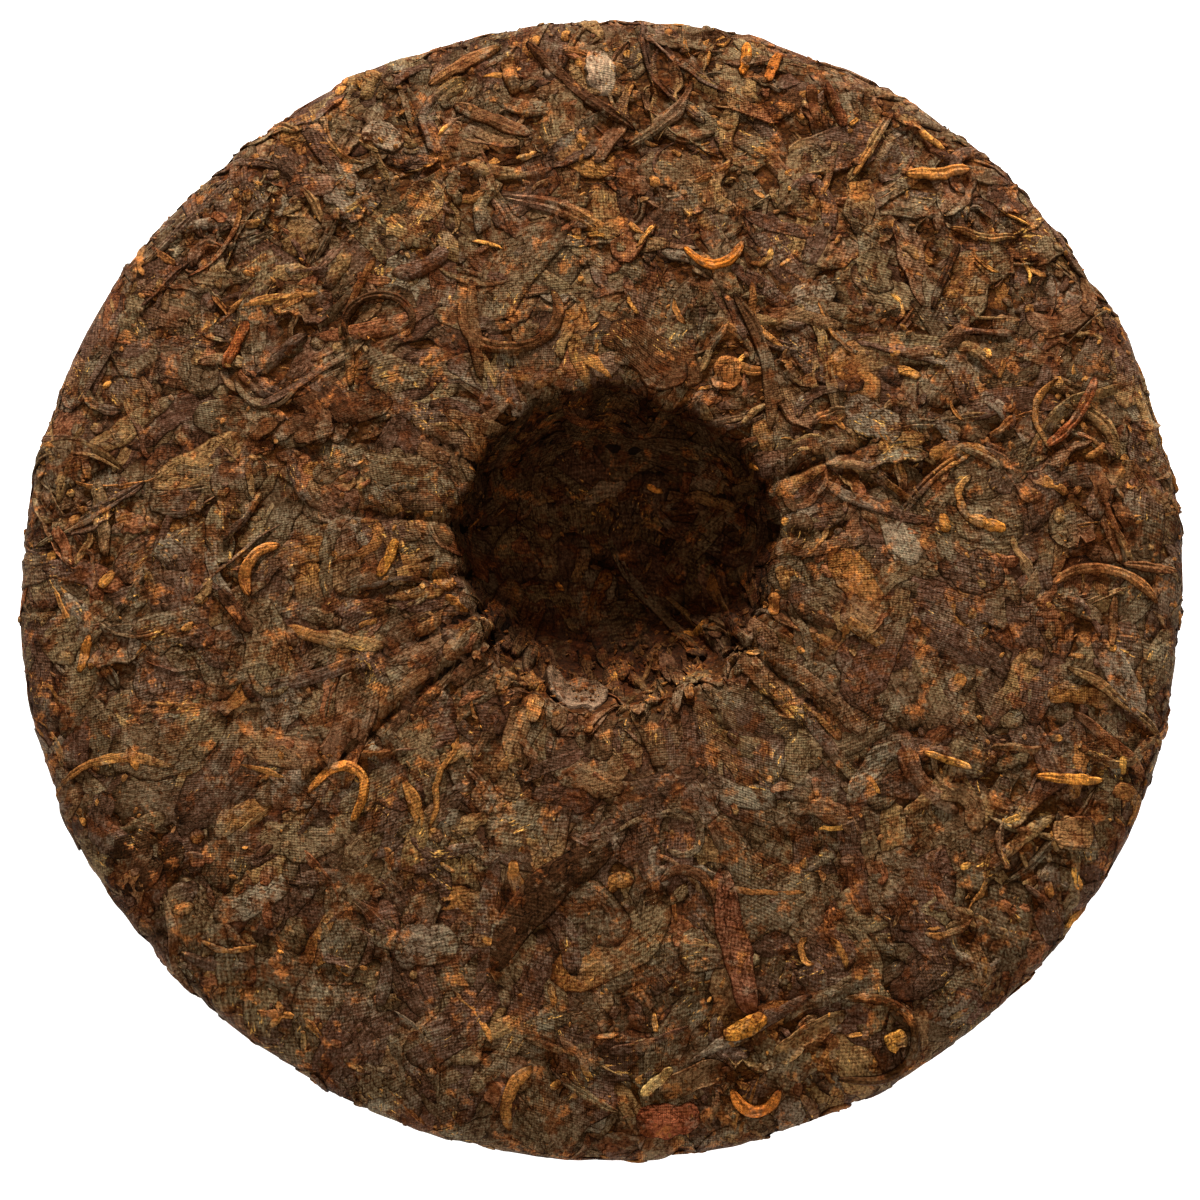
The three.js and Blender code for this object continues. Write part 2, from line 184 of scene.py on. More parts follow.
# The height raster is wider than the chart by a leaf's half length
MARGIN = 12

# How far the press leaves a leaf proud where the cake is pressed flush and where it is loose. Gaps that are
# shallower than SHUT are closed where it is flush, and none is left deeper than DEEPEST.
FLUSH, LOOSE, SHUT, DEEPEST = 0.06, 0.9, 0.45, 0.36
LEVEL_BLUR = 2.6
FACE_ROOM = 0.4


def looseness(p):
    """0 where the back is pressed flush, 1 where its leaves are loose.

    They are loose near the top and upper right, round the rim, and on the worn slope of the hollow.
    """
    x, y = p[..., 0], p[..., 1]
    away = np.hypot(x, y)
    rim = smoothstep(away + 0.1 * x, 78, 102) * (1 - 0.8 * smoothstep(away, SHOULDER - 4, SHOULDER + 5))
    patches = 0.1 * wave_field(x, y, 90, 24, 8, 2.3) + 0.35 * smoothstep(-x, 25, 75) * smoothstep(y, -35, 15)
    upper = smoothstep(y + 0.4 * x, 26, 74)
    below = smoothstep(-y, -0.1 * away, 0.6 * away)
    slope = smoothstep(away, 16, 24) * (1 - smoothstep(away, 34, 42)) * below
    return np.clip(patches + 0.6 * upper + 0.45 * rim + slope, 0, 1)


class Side:
    """One side of the cake as a flat chart: millimetres along the skin from its pole, and the angle round it.

    The back's pole is the middle of the hollow. The face's is the middle of the rest face, and its chart is
    turned over, so that it too is seen from outside.
    """

    def __init__(self, on_back):
        self.on_back = on_back
        self.reach = CHART_REACH if on_back else UNDER_POLE - EQUATOR + OVERLAP
        self.cells = int(2 * (self.reach + MARGIN) / CELL)
        self.pile = np.zeros((self.cells, self.cells))

    def place(self, p):
        """Arc length and angle on the section of a point of the chart."""
        away = np.hypot(p[..., 0], p[..., 1])
        angle = np.arctan2(p[..., 1], p[..., 0])
        return (away, angle) if self.on_back else (UNDER_POLE - away, -angle)

    def over_plan(self, x, y):
        """The chart's point over x, y of the plan, on the back."""
        s = SHOULDER
        for _ in range(12):
            r = section_at(np.array(s))[0]
            cx, cy = ring_centre(np.array(s), r)
            angle = math.atan2(y - cy, x - cx)
            s += math.hypot(x - cx, y - cy) - float(r) * (1 + waves(OUTLINE_WAVES, angle))
            s = min(max(s, 1), EQUATOR + 4)
        return s * math.cos(angle), s * math.sin(angle)

    def index(self, p):
        i = np.clip(((p + self.reach + MARGIN) / CELL).astype(int), 0, self.cells - 1)
        return i[..., 0] * self.cells + i[..., 1]

    def press(self):
        """Settles the level about which the pile is pressed flush."""
        self.level = blurred(self.pile, LEVEL_BLUR / CELL)

    def pressed(self, p, height):
        """The height over the skin after pressing, and how far above its surroundings it was before."""
        proud = height - self.level.ravel()[self.index(p)]
        loose = looseness(p) if self.on_back else np.zeros_like(proud)
        room = FLUSH + (LOOSE - FLUSH) * loose
        gap = np.maximum(-proud - SHUT * (1 - loose), 0)
        lift = np.sign(proud) * room * np.arcsinh(np.abs(proud) / room) - DEEPEST * np.tanh(gap / DEEPEST)
        if not self.on_back:
            lift = FACE_ROOM * (np.tanh(lift / FACE_ROOM) - 1)
        return lift, proud * (0.5 + 0.5 * loose)


def blurred(grid, radius):
    """A Gaussian blur, by the Fourier transform."""
    wide = np.fft.fftfreq(grid.shape[0])[:, None]
    high = np.fft.rfftfreq(grid.shape[1])[None]
    kept = np.exp(-2 * (math.pi * radius) ** 2 * (wide**2 + high**2))
    return np.fft.irfft2(np.fft.rfft2(grid) * kept, grid.shape)


back = Side(on_back=True)
face = Side(on_back=False)


def on_chart(side, p, heading):
    """How a straight line turns at points of the chart, and a step of 1 mm along it."""
    away = np.maximum(np.hypot(p[..., 0], p[..., 1]), 1e-6)
    r, _, dr, _ = section_at(side.place(p)[0])
    r = np.maximum(r, 0.5)
    outwards = p / away[..., None]
    sideways = np.stack([-outwards[..., 1], outwards[..., 0]], -1)
    turned = heading - np.arctan2(p[..., 1], p[..., 0])
    stretch = np.where(away > 1, away / r, 1)
    step = np.cos(turned)[..., None] * outwards + (np.sin(turned) * stretch)[..., None] * sideways
    return (1 - (dr if side.on_back else -dr)) * np.sin(turned) / r, step


def walk(side, half, start, heading, length, bend, pinch, wiggle):
    """Points of the chart along curved lines on the skin, 2 * half + 1 for each leaf, and each one's heading.

    A line starts in its middle. bend is its whole turn, pinch gathers the turn in the middle, and wiggle adds
    an S.
    """
    points, headings = np.zeros((len(start), 2 * half + 1, 2)), np.zeros((len(start), 2 * half + 1))
    points[:, half], headings[:, half] = start, heading
    for direction in (1, -1):
        p, way = start.copy(), heading.copy()
        step = direction * length / (2 * half)
        for k in range(1, half + 1):
            turning, ahead = on_chart(side, p, way)
            p = p + step[:, None] * ahead
            gone = direction * (k - 0.5) / (2 * half)
            curl = bend * (1 + pinch * np.cos(2 * math.pi * gone)) + wiggle * np.cos(4 * math.pi * gone)
            way = way + curl * step / length + turning * step
            points[:, half + direction * k], headings[:, half + direction * k] = p, way
    return points, headings


# Cross-sections of a leaf, each a ring of points: share of the half width, share of the thickness. The first
# row is what shows, from edge to edge; the second is sunk in the pile.
BLADE = (
    [(-1, 0), (-0.87, 0.85), (-0.45, 1), (0, 1), (0.45, 1), (0.87, 0.85), (1, 0)],
    [(0.6, -1), (-0.6, -1)],
)
ROLLED = (
    [(-1, 0), (-0.8, 0.7), (-0.35, 1), (0.1, 0.82), (0.45, 0.98), (0.82, 0.62), (1, 0)],
    [(0.55, -1), (-0.55, -1)],
)
FOLDED = (
    [(-1, 0), (-0.85, 0.8), (-0.5, 1), (-0.18, 0.4), (0.2, 0.9), (0.62, 0.55), (1, 0)],
    [(0.55, -1), (-0.55, -1)],
)
CURLED = (
    [(-1, 0), (-0.92, 1), (-0.55, 0.3), (0, 0.15), (0.45, 0.4), (0.86, 1), (1, 0)],
    [(0.6, -1), (-0.6, -1)],
)
SCRAP = ([(-1, 0), (-0.65, 0.95), (0.65, 0.95), (1, 0)], [(0, -1)])


# How deep the lower side of a leaf is sunk, and how far it keeps level over an uneven pile
SUNK, STIFFNESS = 0.35, 0.4
# Each leaf reads its patterns at a place of its own, this far along and across from the last leaf's
NEXT_ALONG, NEXT_ACROSS = 37.0, 13.0
# Over what share of its length a leaf changes from the tint of one end to that of the other
TURNING_SHARE = 0.22


class Leaves:
    """A lot of leaves of one kind on one side, from the arrays of their sizes to one mesh.

    Under the press a leaf keeps the share of its thickness that spring says.
    """

    def __init__(self, name, side, section, half, sizes, spring=0.0):
        self.name, self.side, self.section, self.half, self.spring = name, side, section, half, spring
        self.count = len(sizes["length"])
        self.tint = sizes["tint"]
        self.end = sizes["end"]
        self.turning = sizes["turning"]
        length, width, thickness = (sizes[key][:, None] for key in ("length", "width", "thickness"))
        points, headings = walk(side, half, *(sizes[key] for key in (
            "start", "heading", "length", "bend", "pinch", "wiggle")))
        t = np.linspace(-0.5, 0.5, 2 * half + 1)[None]
        blunt = np.where(t < 0, sizes["blunt"][:, :1], sizes["blunt"][:, 1:])
        taper = (1 - np.abs(2 * t * 0.985) ** blunt) ** 0.6
        shown, sunk = section
        x, form = (np.array(shown + sunk, float)[:, i][None, None] for i in (0, 1))

        # Each edge of a leaf is torn in its own way
        torn = [1 + sizes["torn"][:, None] * sum(
            np.sin(2 * math.pi * (k * t * (0.6 + 0.8 * phase[:, :1]) + phase[:, k : k + 1])) / math.sqrt(k)
            for k in (1, 2, 3, 4)) for phase in sizes["phases"]]
        half_width = [0.5 * width * (0.08 + 0.92 * taper) * np.maximum(edge, 0.25) for edge in torn]
        self.across = np.where(x < 0, half_width[0][..., None], half_width[1][..., None]) * x
        self.along = t * length
        way = on_chart(side, points, headings + math.pi / 2)[1]
        self.points = points[:, :, None] + self.across[..., None] * way[:, :, None]

        phase = sizes["phases"][0][:, None]
        ripples = t[..., None] * sizes["ripple"][:, None, None] + phase[..., :1]
        rippled = 1 + 0.3 * np.sin(2 * math.pi * ripples)
        leaning = sizes["fold"][:, None, None] * (1 - 1.6 * np.abs(x)) + sizes["tilt"][:, None, None] * x
        self.form = thickness[..., None] * (0.3 + 0.7 * taper[..., None]) * (form * rippled + leaning)
        self.form += sizes["rise"][:, None, None] * (t[..., None] + 0.3) ** 2
        self.form[:, :, len(shown) :] = -SUNK - 0.3 * thickness[..., None]
        self.drape = np.zeros(self.form.shape)
        self.fine_along = resampler(2 * half + 1, max(3, int(sizes["length"].max() / CELL)))
        self.fine_across = resampler(len(shown), max(3, int(sizes["width"].max() / CELL)))

    def lay(self, k):
        """Lays leaf k on the pile, which it follows a little stiffly."""
        shown = len(self.section[0])
        pile = self.side.pile.ravel()
        points = self.points[k, :, :shown]
        under = pile[self.side.index(points)]
        eased = np.pad(under, ((1, 1), (1, 1)), mode="edge")
        eased = (eased[:-2, 1:-1] + eased[2:, 1:-1] + eased[1:-1, :-2] + eased[1:-1, 2:] + 2 * under) / 6
        level = eased.mean(1, keepdims=True)
        drape = (1 - STIFFNESS) * eased + STIFFNESS * level
        self.drape[k, :, :shown], self.drape[k, :, shown:] = drape, level
        fine_points = np.stack([self.fine_along @ points[..., i] @ self.fine_across.T for i in (0, 1)], -1)
        fine_top = self.fine_along @ (drape + self.form[k, :, :shown]) @ self.fine_across.T
        cells = self.side.index(fine_points).ravel()
        pile[cells] = np.maximum(pile[cells], fine_top.ravel())

    def joint(self):
        """1 on the edges and ends of a leaf and below it, where it meets its neighbours; the material darkens
        these with painted shade.
        """
        shown, sunk = self.section
        edge = np.array([abs(x) == 1 for x, _ in shown] + [True] * len(sunk), float)
        joint = np.broadcast_to(edge, self.across.shape).copy()
        joint[:, [0, -1]] = 1
        return joint

    def build(self, material, piece_name):
        """The lot as one mesh, each leaf a closed solid, with its UV maps and what its material reads."""
        shown, sunk = self.section
        ring = len(shown) + len(sunk)
        stations = 2 * self.half + 1
        s, angle = self.side.place(self.points)
        lift, proud = self.side.pressed(self.points, self.drape + (1 - self.spring) * self.form)
        lift, proud = lift + self.spring * self.form, proud + self.spring * self.form
        # Painted shade in the creases: they are darkened as if they lay lower in the pile
        if self.side.on_back:
            proud = proud - CREASE_PAINTED_SHADE * np.maximum(crease_depth(section_at(s)[0], angle), 0)
        verts = skin(s, angle, lift).reshape(-1, 3) * MM
        a = np.arange(stations - 1)[:, None] * ring + np.arange(ring)[None]
        b = np.arange(stations - 1)[:, None] * ring + (np.arange(ring)[None] + 1) % ring
        quads = np.stack([a, b, b + ring, a + ring], -1).reshape(-1, 4)[:, ::-1]
        fan = np.arange(1, ring - 1)
        near = np.stack([np.zeros_like(fan), fan, fan + 1], -1)
        far = (near + (stations - 1) * ring)[:, ::-1]
        base = np.arange(self.count)[:, None, None] * stations * ring
        loops = np.concatenate([
            (quads[None] + base).reshape(-1), (near[None] + base).reshape(-1), (far[None] + base).reshape(-1)
        ])
        sizes = np.concatenate([
            np.full(self.count * len(quads), 4), np.full(self.count * 2 * len(near), 3)
        ])
        along = np.broadcast_to(self.along[:, :, None], self.across.shape)
        number = np.arange(self.count)[:, None, None]
        leaf = np.stack([along + NEXT_ALONG * number, self.across + NEXT_ACROSS * number], -1)
        t = (self.along / self.along.max(1, keepdims=True) * 0.5)[..., None, None]
        turning = self.turning[:, None, None, None]
        share = smoothstep(t, turning - TURNING_SHARE, turning + TURNING_SHARE)
        tint = self.tint[:, None, None] * (1 - share) + self.end[:, None, None] * share
        tint = np.broadcast_to(tint, self.across.shape + (3,))
        # The tint's alpha says how free a point is of the hollow's painted shade
        tint = np.concatenate([tint, free_of_hollow_shade(self.side, self.points)[..., None]], -1)
        return joined_mesh(
            piece_name, material, verts, loops, sizes,
            {"leaf": leaf.reshape(-1, 2), "cloth": cloth_map(self.points).reshape(-1, 2)},
            tint.reshape(-1, 4), {"proud": proud.reshape(-1), "joint": self.joint().reshape(-1)},
        )


# How far along the skin the hollow's crisp edge is: where the lip's curve is this far from the middle
CRISP_RADIUS = 27.9
lip_curve = slice(2 * FINE_PER_CURVE, 3 * FINE_PER_CURVE)
HOLLOW_EDGE = float(np.interp(-CRISP_RADIUS, -fine[lip_curve, 0][::-1], arc[lip_curve][::-1]))


def free_of_hollow_shade(side, p):
    """0 in the hollow, where painted shade darkens the leaves, to 1 outside it. The worn slope is only half
    shaded.
    """
    away = np.hypot(p[..., 0], p[..., 1])
    up = p[..., 1] / np.maximum(away, 1)
    worn = smoothstep(-up, 0.1, 0.9)
    low, high = HOLLOW_EDGE - 1.2 - 12 * worn, HOLLOW_EDGE + 0.4 + 0.6 * worn
    return smoothstep(away, low, high) if side.on_back else np.ones_like(away)


def resampler(coarse, fine_count):
    """The matrix that samples a row of evenly numbered points at fine_count places."""
    at = np.linspace(0, coarse - 1, fine_count)
    return np.maximum(0, 1 - np.abs(at[:, None] - np.arange(coarse)[None]))


CLOTH_DRAG = 1.7


def cloth_map(p):
    """Where the threads of the press cloth lay, in millimetres of cloth: the chart, slowly dragged about."""
    x, y = p[..., 0], p[..., 1]
    sideways, upwards = wave_field(x, y, 120, 50, 5, 0.9), wave_field(x, y, 110, 45, 5, 3.1)
    return np.stack([x + CLOTH_DRAG * sideways, y + CLOTH_DRAG * upwards], -1)


# Faces of a leaf that meet at a steeper angle than this, in degrees, show a crisp edge
TORN_EDGE = 36


def joined_mesh(name, material, verts, loops, sizes, uv_maps, tint, vertex_values):
    """A mesh object from arrays: corner indices, face sizes, and values for each vertex."""
    mesh = bpy.data.meshes.new(name)
    mesh.vertices.add(len(verts))
    mesh.vertices.foreach_set("co", verts.astype(np.float32).ravel())
    mesh.loops.add(len(loops))
    mesh.loops.foreach_set("vertex_index", loops.astype(np.int32))
    mesh.polygons.add(len(sizes))
    starts = np.concatenate([[0], np.cumsum(sizes)[:-1]])
    mesh.polygons.foreach_set("loop_start", starts.astype(np.int32))
    mesh.polygons.foreach_set("use_smooth", np.ones(len(sizes), bool))
    for label, values in uv_maps.items():
        mesh.uv_layers.new(name=label).data.foreach_set("uv", values[loops].astype(np.float32).ravel())
    colour = mesh.attributes.new("tint", "FLOAT_COLOR", "POINT")
    colour.data.foreach_set("color", tint.astype(np.float32).ravel())
    for label, numbers in vertex_values.items():
        mesh.attributes.new(label, "FLOAT", "POINT").data.foreach_set("value", numbers.astype(np.float32))
    mesh.materials.append(material)
    mesh.update(calc_edges=True)
    mesh.validate()
    mesh.set_sharp_from_angle(angle=math.radians(TORN_EDGE))
    piece = bpy.data.objects.new(name, mesh)
    bpy.context.scene.collection.objects.link(piece)
    return piece


# Colours and materials.


def linear(hex_colour):
    """A hex sRGB colour as linear red, green and blue."""
    srgb = np.array([int(hex_colour[i : i + 2], 16) / 255 for i in (0, 2, 4)])
    return np.where(srgb <= 0.04045, srgb / 12.92, ((srgb + 0.055) / 1.055) ** 2.4)


def node(tree, kind, settings=None, **links):
    """A node of a kind with its settings and its inputs: a socket is linked, any other value is set."""
    made = tree.nodes.new(kind)
    for key, value in (settings or {}).items():
        setattr(made, key, value)
    for key, value in links.items():
        place = made.inputs[int(key[1:])] if key[0] == "_" else made.inputs[key.replace("_", " ")]
        if isinstance(value, bpy.types.NodeSocket):
            tree.links.new(value, place)
        else:
            place.default_value = value
    return made


# How many mottles, grains, wrinkles, wide patches and patches of noise there are to a metre: they are 5.3,
# 0.53, 2.6, 9.1 and 4.3 mm wide
MOTTLES_A_METRE, GRAINS_A_METRE, WRINKLES_A_METRE = 190.0, 1900.0, 380.0
WIDE_PATCHES_A_METRE, PATCHES_A_METRE = 110.0, 230.0
# The warp of the cloth is pressed in a little less than the weft
WARP_SHARE = 0.95
# Depths in millimetres of the wrinkles, the grit and the cracks
WRINKLE_DENT, GRIT_DENT, CRACK_DENT = 0.21, 0.14, 0.24


def leaf_material(name, weave, ribs, cracks, flecks, roughness):
    """Fermented and dried tea leaf, steamed and pressed in cloth.

    The eye gets a matt brown with a dull oily sheen, fine ribs along the leaf, cracks where it broke as it
    dried, golden patches, grey patches that are partly bloom and partly painted sheen, and where it stood
    proud the print of the cloth's threads, its light and dark painted into the colour. Cracks, recesses and
    joints between leaves are darkened with painted shade, and the brightest grains are painted glints.
    """
    material = bpy.data.materials.new(name)
    material.use_nodes = True
    tree = material.node_tree
    tree.nodes.clear()
    output = node(tree, "ShaderNodeOutputMaterial")
    shader = node(tree, "ShaderNodeBsdfPrincipled", None, IOR=1.45, Specular_IOR_Level=0.1,
                  Specular_Tint=(*linear("d8b690"), 1))
    tree.links.new(shader.outputs[0], output.inputs[0])
    tinted = node(tree, "ShaderNodeAttribute", {"attribute_name": "tint"}).outputs
    proud = node(tree, "ShaderNodeAttribute", {"attribute_name": "proud"}).outputs["Fac"]
    joint = node(tree, "ShaderNodeAttribute", {"attribute_name": "joint"}).outputs["Fac"]
    here = node(tree, "ShaderNodeTexCoord").outputs["Object"]
    on_leaf = node(tree, "ShaderNodeUVMap", {"uv_map": "leaf"}).outputs[0]
    on_cloth = node(tree, "ShaderNodeUVMap", {"uv_map": "cloth"}).outputs[0]

    # Mottle in patches 3 to 8 mm wide, and a grit of 0.5 mm whose brightest specks are painted glints
    mottle = node(tree, "ShaderNodeTexNoise", None, Vector=here, Scale=MOTTLES_A_METRE, Detail=3.0,
                  Roughness=0.7).outputs[0]
    grains = node(tree, "ShaderNodeTexNoise", None, Vector=here, Scale=GRAINS_A_METRE, Detail=2.0,
                  Roughness=0.8)
    grit_and_glints = grains.outputs[0]

    # Ribs and fibres along the leaf, 0.6 mm apart and 4 mm long
    stretched = node(tree, "ShaderNodeMapping", None, Vector=on_leaf, Scale=(0.25, 1.7, 1)).outputs[0]
    fibres = node(tree, "ShaderNodeTexNoise", {"noise_dimensions": "2D"}, Vector=stretched, Scale=1.0,
                  Detail=2.0, Roughness=0.6).outputs[0]

    # Wrinkles and cracks between pieces of leaf about 4 by 1.8 mm, where noise lets them through; the cracks
    # are darkened with painted shade
    drift = node(tree, "ShaderNodeTexNoise", {"noise_dimensions": "2D"}, Vector=on_leaf, Scale=0.45,
                 Detail=2.0)
    dragged = node(tree, "ShaderNodeVectorMath", {"operation": "MULTIPLY_ADD"}, _0=drift.outputs["Color"],
                   _1=(4.2, 3.4, 0.0), _2=on_leaf).outputs[0]
    pieces = node(tree, "ShaderNodeMapping", None, Vector=dragged, Scale=(0.25, 0.55, 1)).outputs[0]
    gap = node(tree, "ShaderNodeTexVoronoi", {"voronoi_dimensions": "2D", "feature": "DISTANCE_TO_EDGE"},
               Vector=pieces, Scale=1.0).outputs["Distance"]
    broken = node(tree, "ShaderNodeMapRange", None, _0=gap, _1=0.0, _2=0.1, _3=0.0, _4=1.0).outputs[0]
    whole = node(tree, "ShaderNodeMapRange", None, _0=mottle, _1=0.44, _2=0.56, _3=0.0, _4=1.0).outputs[0]
    unbroken = node(tree, "ShaderNodeMath", {"operation": "MAXIMUM"}, _0=broken, _1=whole).outputs[0]
    wrinkles = node(tree, "ShaderNodeTexNoise", {"noise_type": "RIDGED_MULTIFRACTAL"}, Vector=here,
                    Scale=WRINKLES_A_METRE, Detail=1.5, Roughness=0.5, Lacunarity=2.1, Offset=0.8,
                    Gain=1.2).outputs[0]

    # Print of a plain weave, threads 0.54 mm apart, the weft pressed in deeper than the warp; its light and
    # dark in the colour are painted shade and highlight on the threads
    threads = node(tree, "ShaderNodeVectorMath", {"operation": "SCALE"}, _0=on_cloth,
                   Scale=2 * math.pi / THREAD_PITCH)
    split = node(tree, "ShaderNodeSeparateXYZ", None, _0=threads.outputs[0])
    warp, weft = (node(tree, "ShaderNodeMath", {"operation": "COSINE"}, _0=along).outputs[0]
                  for along in split.outputs[:2])
    crossing = node(tree, "ShaderNodeMath", {"operation": "MULTIPLY_ADD"}, _0=warp, _1=WARP_SHARE,
                    _2=weft).outputs[0]
    where = node(tree, "ShaderNodeTexNoise", None, Vector=here, Scale=WIDE_PATCHES_A_METRE, Detail=2.0,
                 Roughness=0.6).outputs[0]
    patchy = node(tree, "ShaderNodeMapRange", None, _0=where, _1=0.36, _2=0.52, _3=0.25, _4=1.0).outputs[0]
    touched = node(tree, "ShaderNodeMapRange", None, _0=proud, _1=-0.35, _2=-0.05, _3=0.1, _4=1.0).outputs[0]
    printed = node(tree, "ShaderNodeMath", {"operation": "MULTIPLY"}, _0=touched, _1=patchy).outputs[0]
    imprint = node(tree, "ShaderNodeMath", {"operation": "MULTIPLY"}, _0=crossing, _1=printed).outputs[0]

    # Patches of another shade that run on from leaf to leaf: rust where the juice dried, tannin, and grey
    # that is partly bloom and partly painted sheen
    colour = tinted["Color"]
    patches = node(tree, "ShaderNodeTexNoise", None, Vector=here, Scale=PATCHES_A_METRE, Detail=4.0,
                   Roughness=0.66)
    shares = node(tree, "ShaderNodeSeparateColor", None, _0=patches.outputs["Color"]).outputs
    for i, (hue, low, high, most) in enumerate(((RUST, 0.57, 0.66, flecks), (TANNIN, 0.53, 0.61, 0.75),
                                                (GREY_BLOOM_AND_SHEEN, 0.55, 0.66, 0.45))):
        amount = node(tree, "ShaderNodeMapRange", None, _0=shares[i], _1=low, _2=high, _3=0.0,
                      _4=most).outputs[0]
        colour = node(tree, "ShaderNodeMix", {"data_type": "RGBA"}, _0=amount, _6=colour,
                      _7=(*linear(hue), 1)).outputs[2]

    # Golden hairs and splinters about 3 mm long, in patches
    hairs = node(tree, "ShaderNodeMapping", None, Vector=on_leaf, Location=(31, 17, 0),
                 Scale=(0.3, 1.5, 1)).outputs[0]
    hair = node(tree, "ShaderNodeTexNoise", {"noise_dimensions": "2D"}, Vector=hairs, Scale=1.0, Detail=3.0,
                Roughness=0.75).outputs[0]
    patch = node(tree, "ShaderNodeMath", {"operation": "MULTIPLY_ADD"}, _0=where, _1=0.7, _2=hair).outputs[0]
    golden = node(tree, "ShaderNodeMapRange", None, _0=patch, _1=1.08, _2=1.15, _3=0.0, _4=flecks).outputs[0]
    colour = node(tree, "ShaderNodeMix", {"data_type": "RGBA"}, _0=golden, _6=colour,
                  _7=(*linear(GOLDEN_HAIR), 1)).outputs[2]

    shades = (
        # The grit's brightest specks are painted glints
        (mottle, 0.3, 0.7, 0.8, 1.22), (fibres, 0.3, 0.7, 0.7, 1.3), (grit_and_glints, 0.3, 0.72, 0.33, 1.88),
        # The weave's light and dark is painted shade and highlight on its threads, and the cracks' dark is
        # painted shade
        (imprint, -1.6, 1.6, 1 - weave, 1 + weave), (unbroken, 0.0, 1.0, 1 - 1.35 * cracks, 1.0),
        # Low places in the pile and the joints between leaves are darkened with painted shade
        (proud, -0.48, 0.02, 0.17, 1.0), (joint, 0.1, 0.9, 1.0, 0.2),
    )
    for value, low, high, darkest, lightest in shades:
        shade = node(tree, "ShaderNodeMapRange", None, _0=value, _1=low, _2=high, _3=darkest, _4=lightest)
        colour = node(tree, "ShaderNodeVectorMath", {"operation": "SCALE"}, _0=colour,
                      Scale=shade.outputs[0]).outputs[0]

    # Redder and more olive by turns, mostly from grain to grain
    grain = node(tree, "ShaderNodeSeparateColor", None, _0=grains.outputs["Color"]).outputs[1]
    turn = node(tree, "ShaderNodeMath", {"operation": "MULTIPLY_ADD"}, _0=where, _1=0.5, _2=grain).outputs[0]
    turn = node(tree, "ShaderNodeMapRange", None, _0=turn, _1=0.58, _2=0.92).outputs[0]
    cast = node(tree, "ShaderNodeMix", {"data_type": "RGBA"}, _0=turn, _6=(*REDDER, 1),
                _7=(*OLIVER, 1)).outputs[2]
    colour = node(tree, "ShaderNodeVectorMath", {"operation": "MULTIPLY"}, _0=colour, _1=cast).outputs[0]

    # What is dark is redder, and painted shade darkens all that lies in the hollow
    light = node(tree, "ShaderNodeRGBToBW", None, Color=colour).outputs[0]
    amount = node(tree, "ShaderNodeMapRange", None, _0=light, _1=0.0, _2=0.075).outputs[0]
    for share, darkest in ((amount, DEEP_BROWN), (tinted["Alpha"], HOLLOW_PAINTED_SHADE)):
        veil = node(tree, "ShaderNodeMix", {"data_type": "RGBA"}, _0=share, _6=(*darkest, 1), _7=(1, 1, 1, 1))
        colour = node(tree, "ShaderNodeVectorMath", {"operation": "MULTIPLY"}, _0=colour,
                      _1=veil.outputs[2]).outputs[0]
    tree.links.new(colour, shader.inputs["Base Color"])

    dull = node(tree, "ShaderNodeMapRange", None, _0=mottle, _1=0.3, _2=0.7, _3=roughness + 0.14,
                _4=roughness - 0.1)
    tree.links.new(dull.outputs[0], shader.inputs["Roughness"])

    bump = None
    for value, deep in ((wrinkles, WRINKLE_DENT), (grit_and_glints, GRIT_DENT), (fibres, ribs),
                        (unbroken, CRACK_DENT * cracks), (imprint, THREAD_DENT * (weave > 0))):
        if deep:
            more = {"Normal": bump} if bump else {}
            bump = node(tree, "ShaderNodeBump", None, Height=value, Distance=deep * MM, **more).outputs[0]
    tree.links.new(bump, shader.inputs["Normal"])
    return material


# What is left of red, green and blue in the darkest spots, and under the painted shade of the hollow
DEEP_BROWN, HOLLOW_PAINTED_SHADE = (0.88, 0.48, 0.16), (0.37, 0.27, 0.19)
REDDER, OLIVER = (1.06, 0.93, 0.9), (0.98, 1.09, 1.08)
THREAD_PITCH = 0.54
THREAD_DENT = 0.016
# The grey is partly bloom and partly a painted sheen
GOLDEN_HAIR, RUST, TANNIN, GREY_BLOOM_AND_SHEEN = "bd8640", "8a5226", "4a2a12", "685a46"

# Name, print of the weave, painted as shade and highlight, depth of the ribs in millimetres, cracks, flecks,
# roughness
pressed_leaf = leaf_material("pressed_leaf_blade", 0.32, 0.12, 0.5, 0.85, 0.8)
rolled_leaf = leaf_material("rolled_leaf_strip", 0.2, 0.2, 0.35, 0.7, 0.76)
bud_leaf = leaf_material("golden_bud_leaf", 0.2, 0.12, 0.3, 0.5, 0.8)
packed_dust = leaf_material("packed_leaf_dust", 0.0, 0.05, 0.5, 0.3, 0.85)

DARK = ["443429", "4a3c2b", "52412d", "463328", "58462f"]
BROWN = ["5c432a", "664b2c", "563c28", "6c502f", "523a2a"]
GREY = ["574838", "5c4b3a", "625340"]
RED = ["643d24", "5a3722", "6c4228"]
RUSTY = ["744a22", "7e5125", "6c4320"]
GOLD = ["96622c", "a46c30", "88582a", "b47c38"]


def tints(palette, count, spread=0.09):
    """A tint for each leaf: a colour of the palette, a little lighter or darker."""
    colours = np.array([linear(c) for c in palette])[rng.integers(0, len(palette), count)]
    return np.clip(colours * np.exp(rng.normal(0, spread, (count, 1))), 0, 0.8)


# Leaves at random places.

def spread_over(side, count, turn):
    """Places spread evenly over a side by the golden angle, each pushed a little aside."""
    i = np.arange(count) + 0.5
    away = side.reach * np.sqrt(i / count)
    angle = i * GOLDEN_ANGLE + turn
    gap = side.reach * math.sqrt(math.pi / count)
    places = np.stack([away * np.cos(angle), away * np.sin(angle)], -1)
    return places + rng.normal(0, 0.35 * gap, places.shape)


def between(low, high, shape, lean=1.0):
    return low + (high - low) * rng.random(shape) ** lean


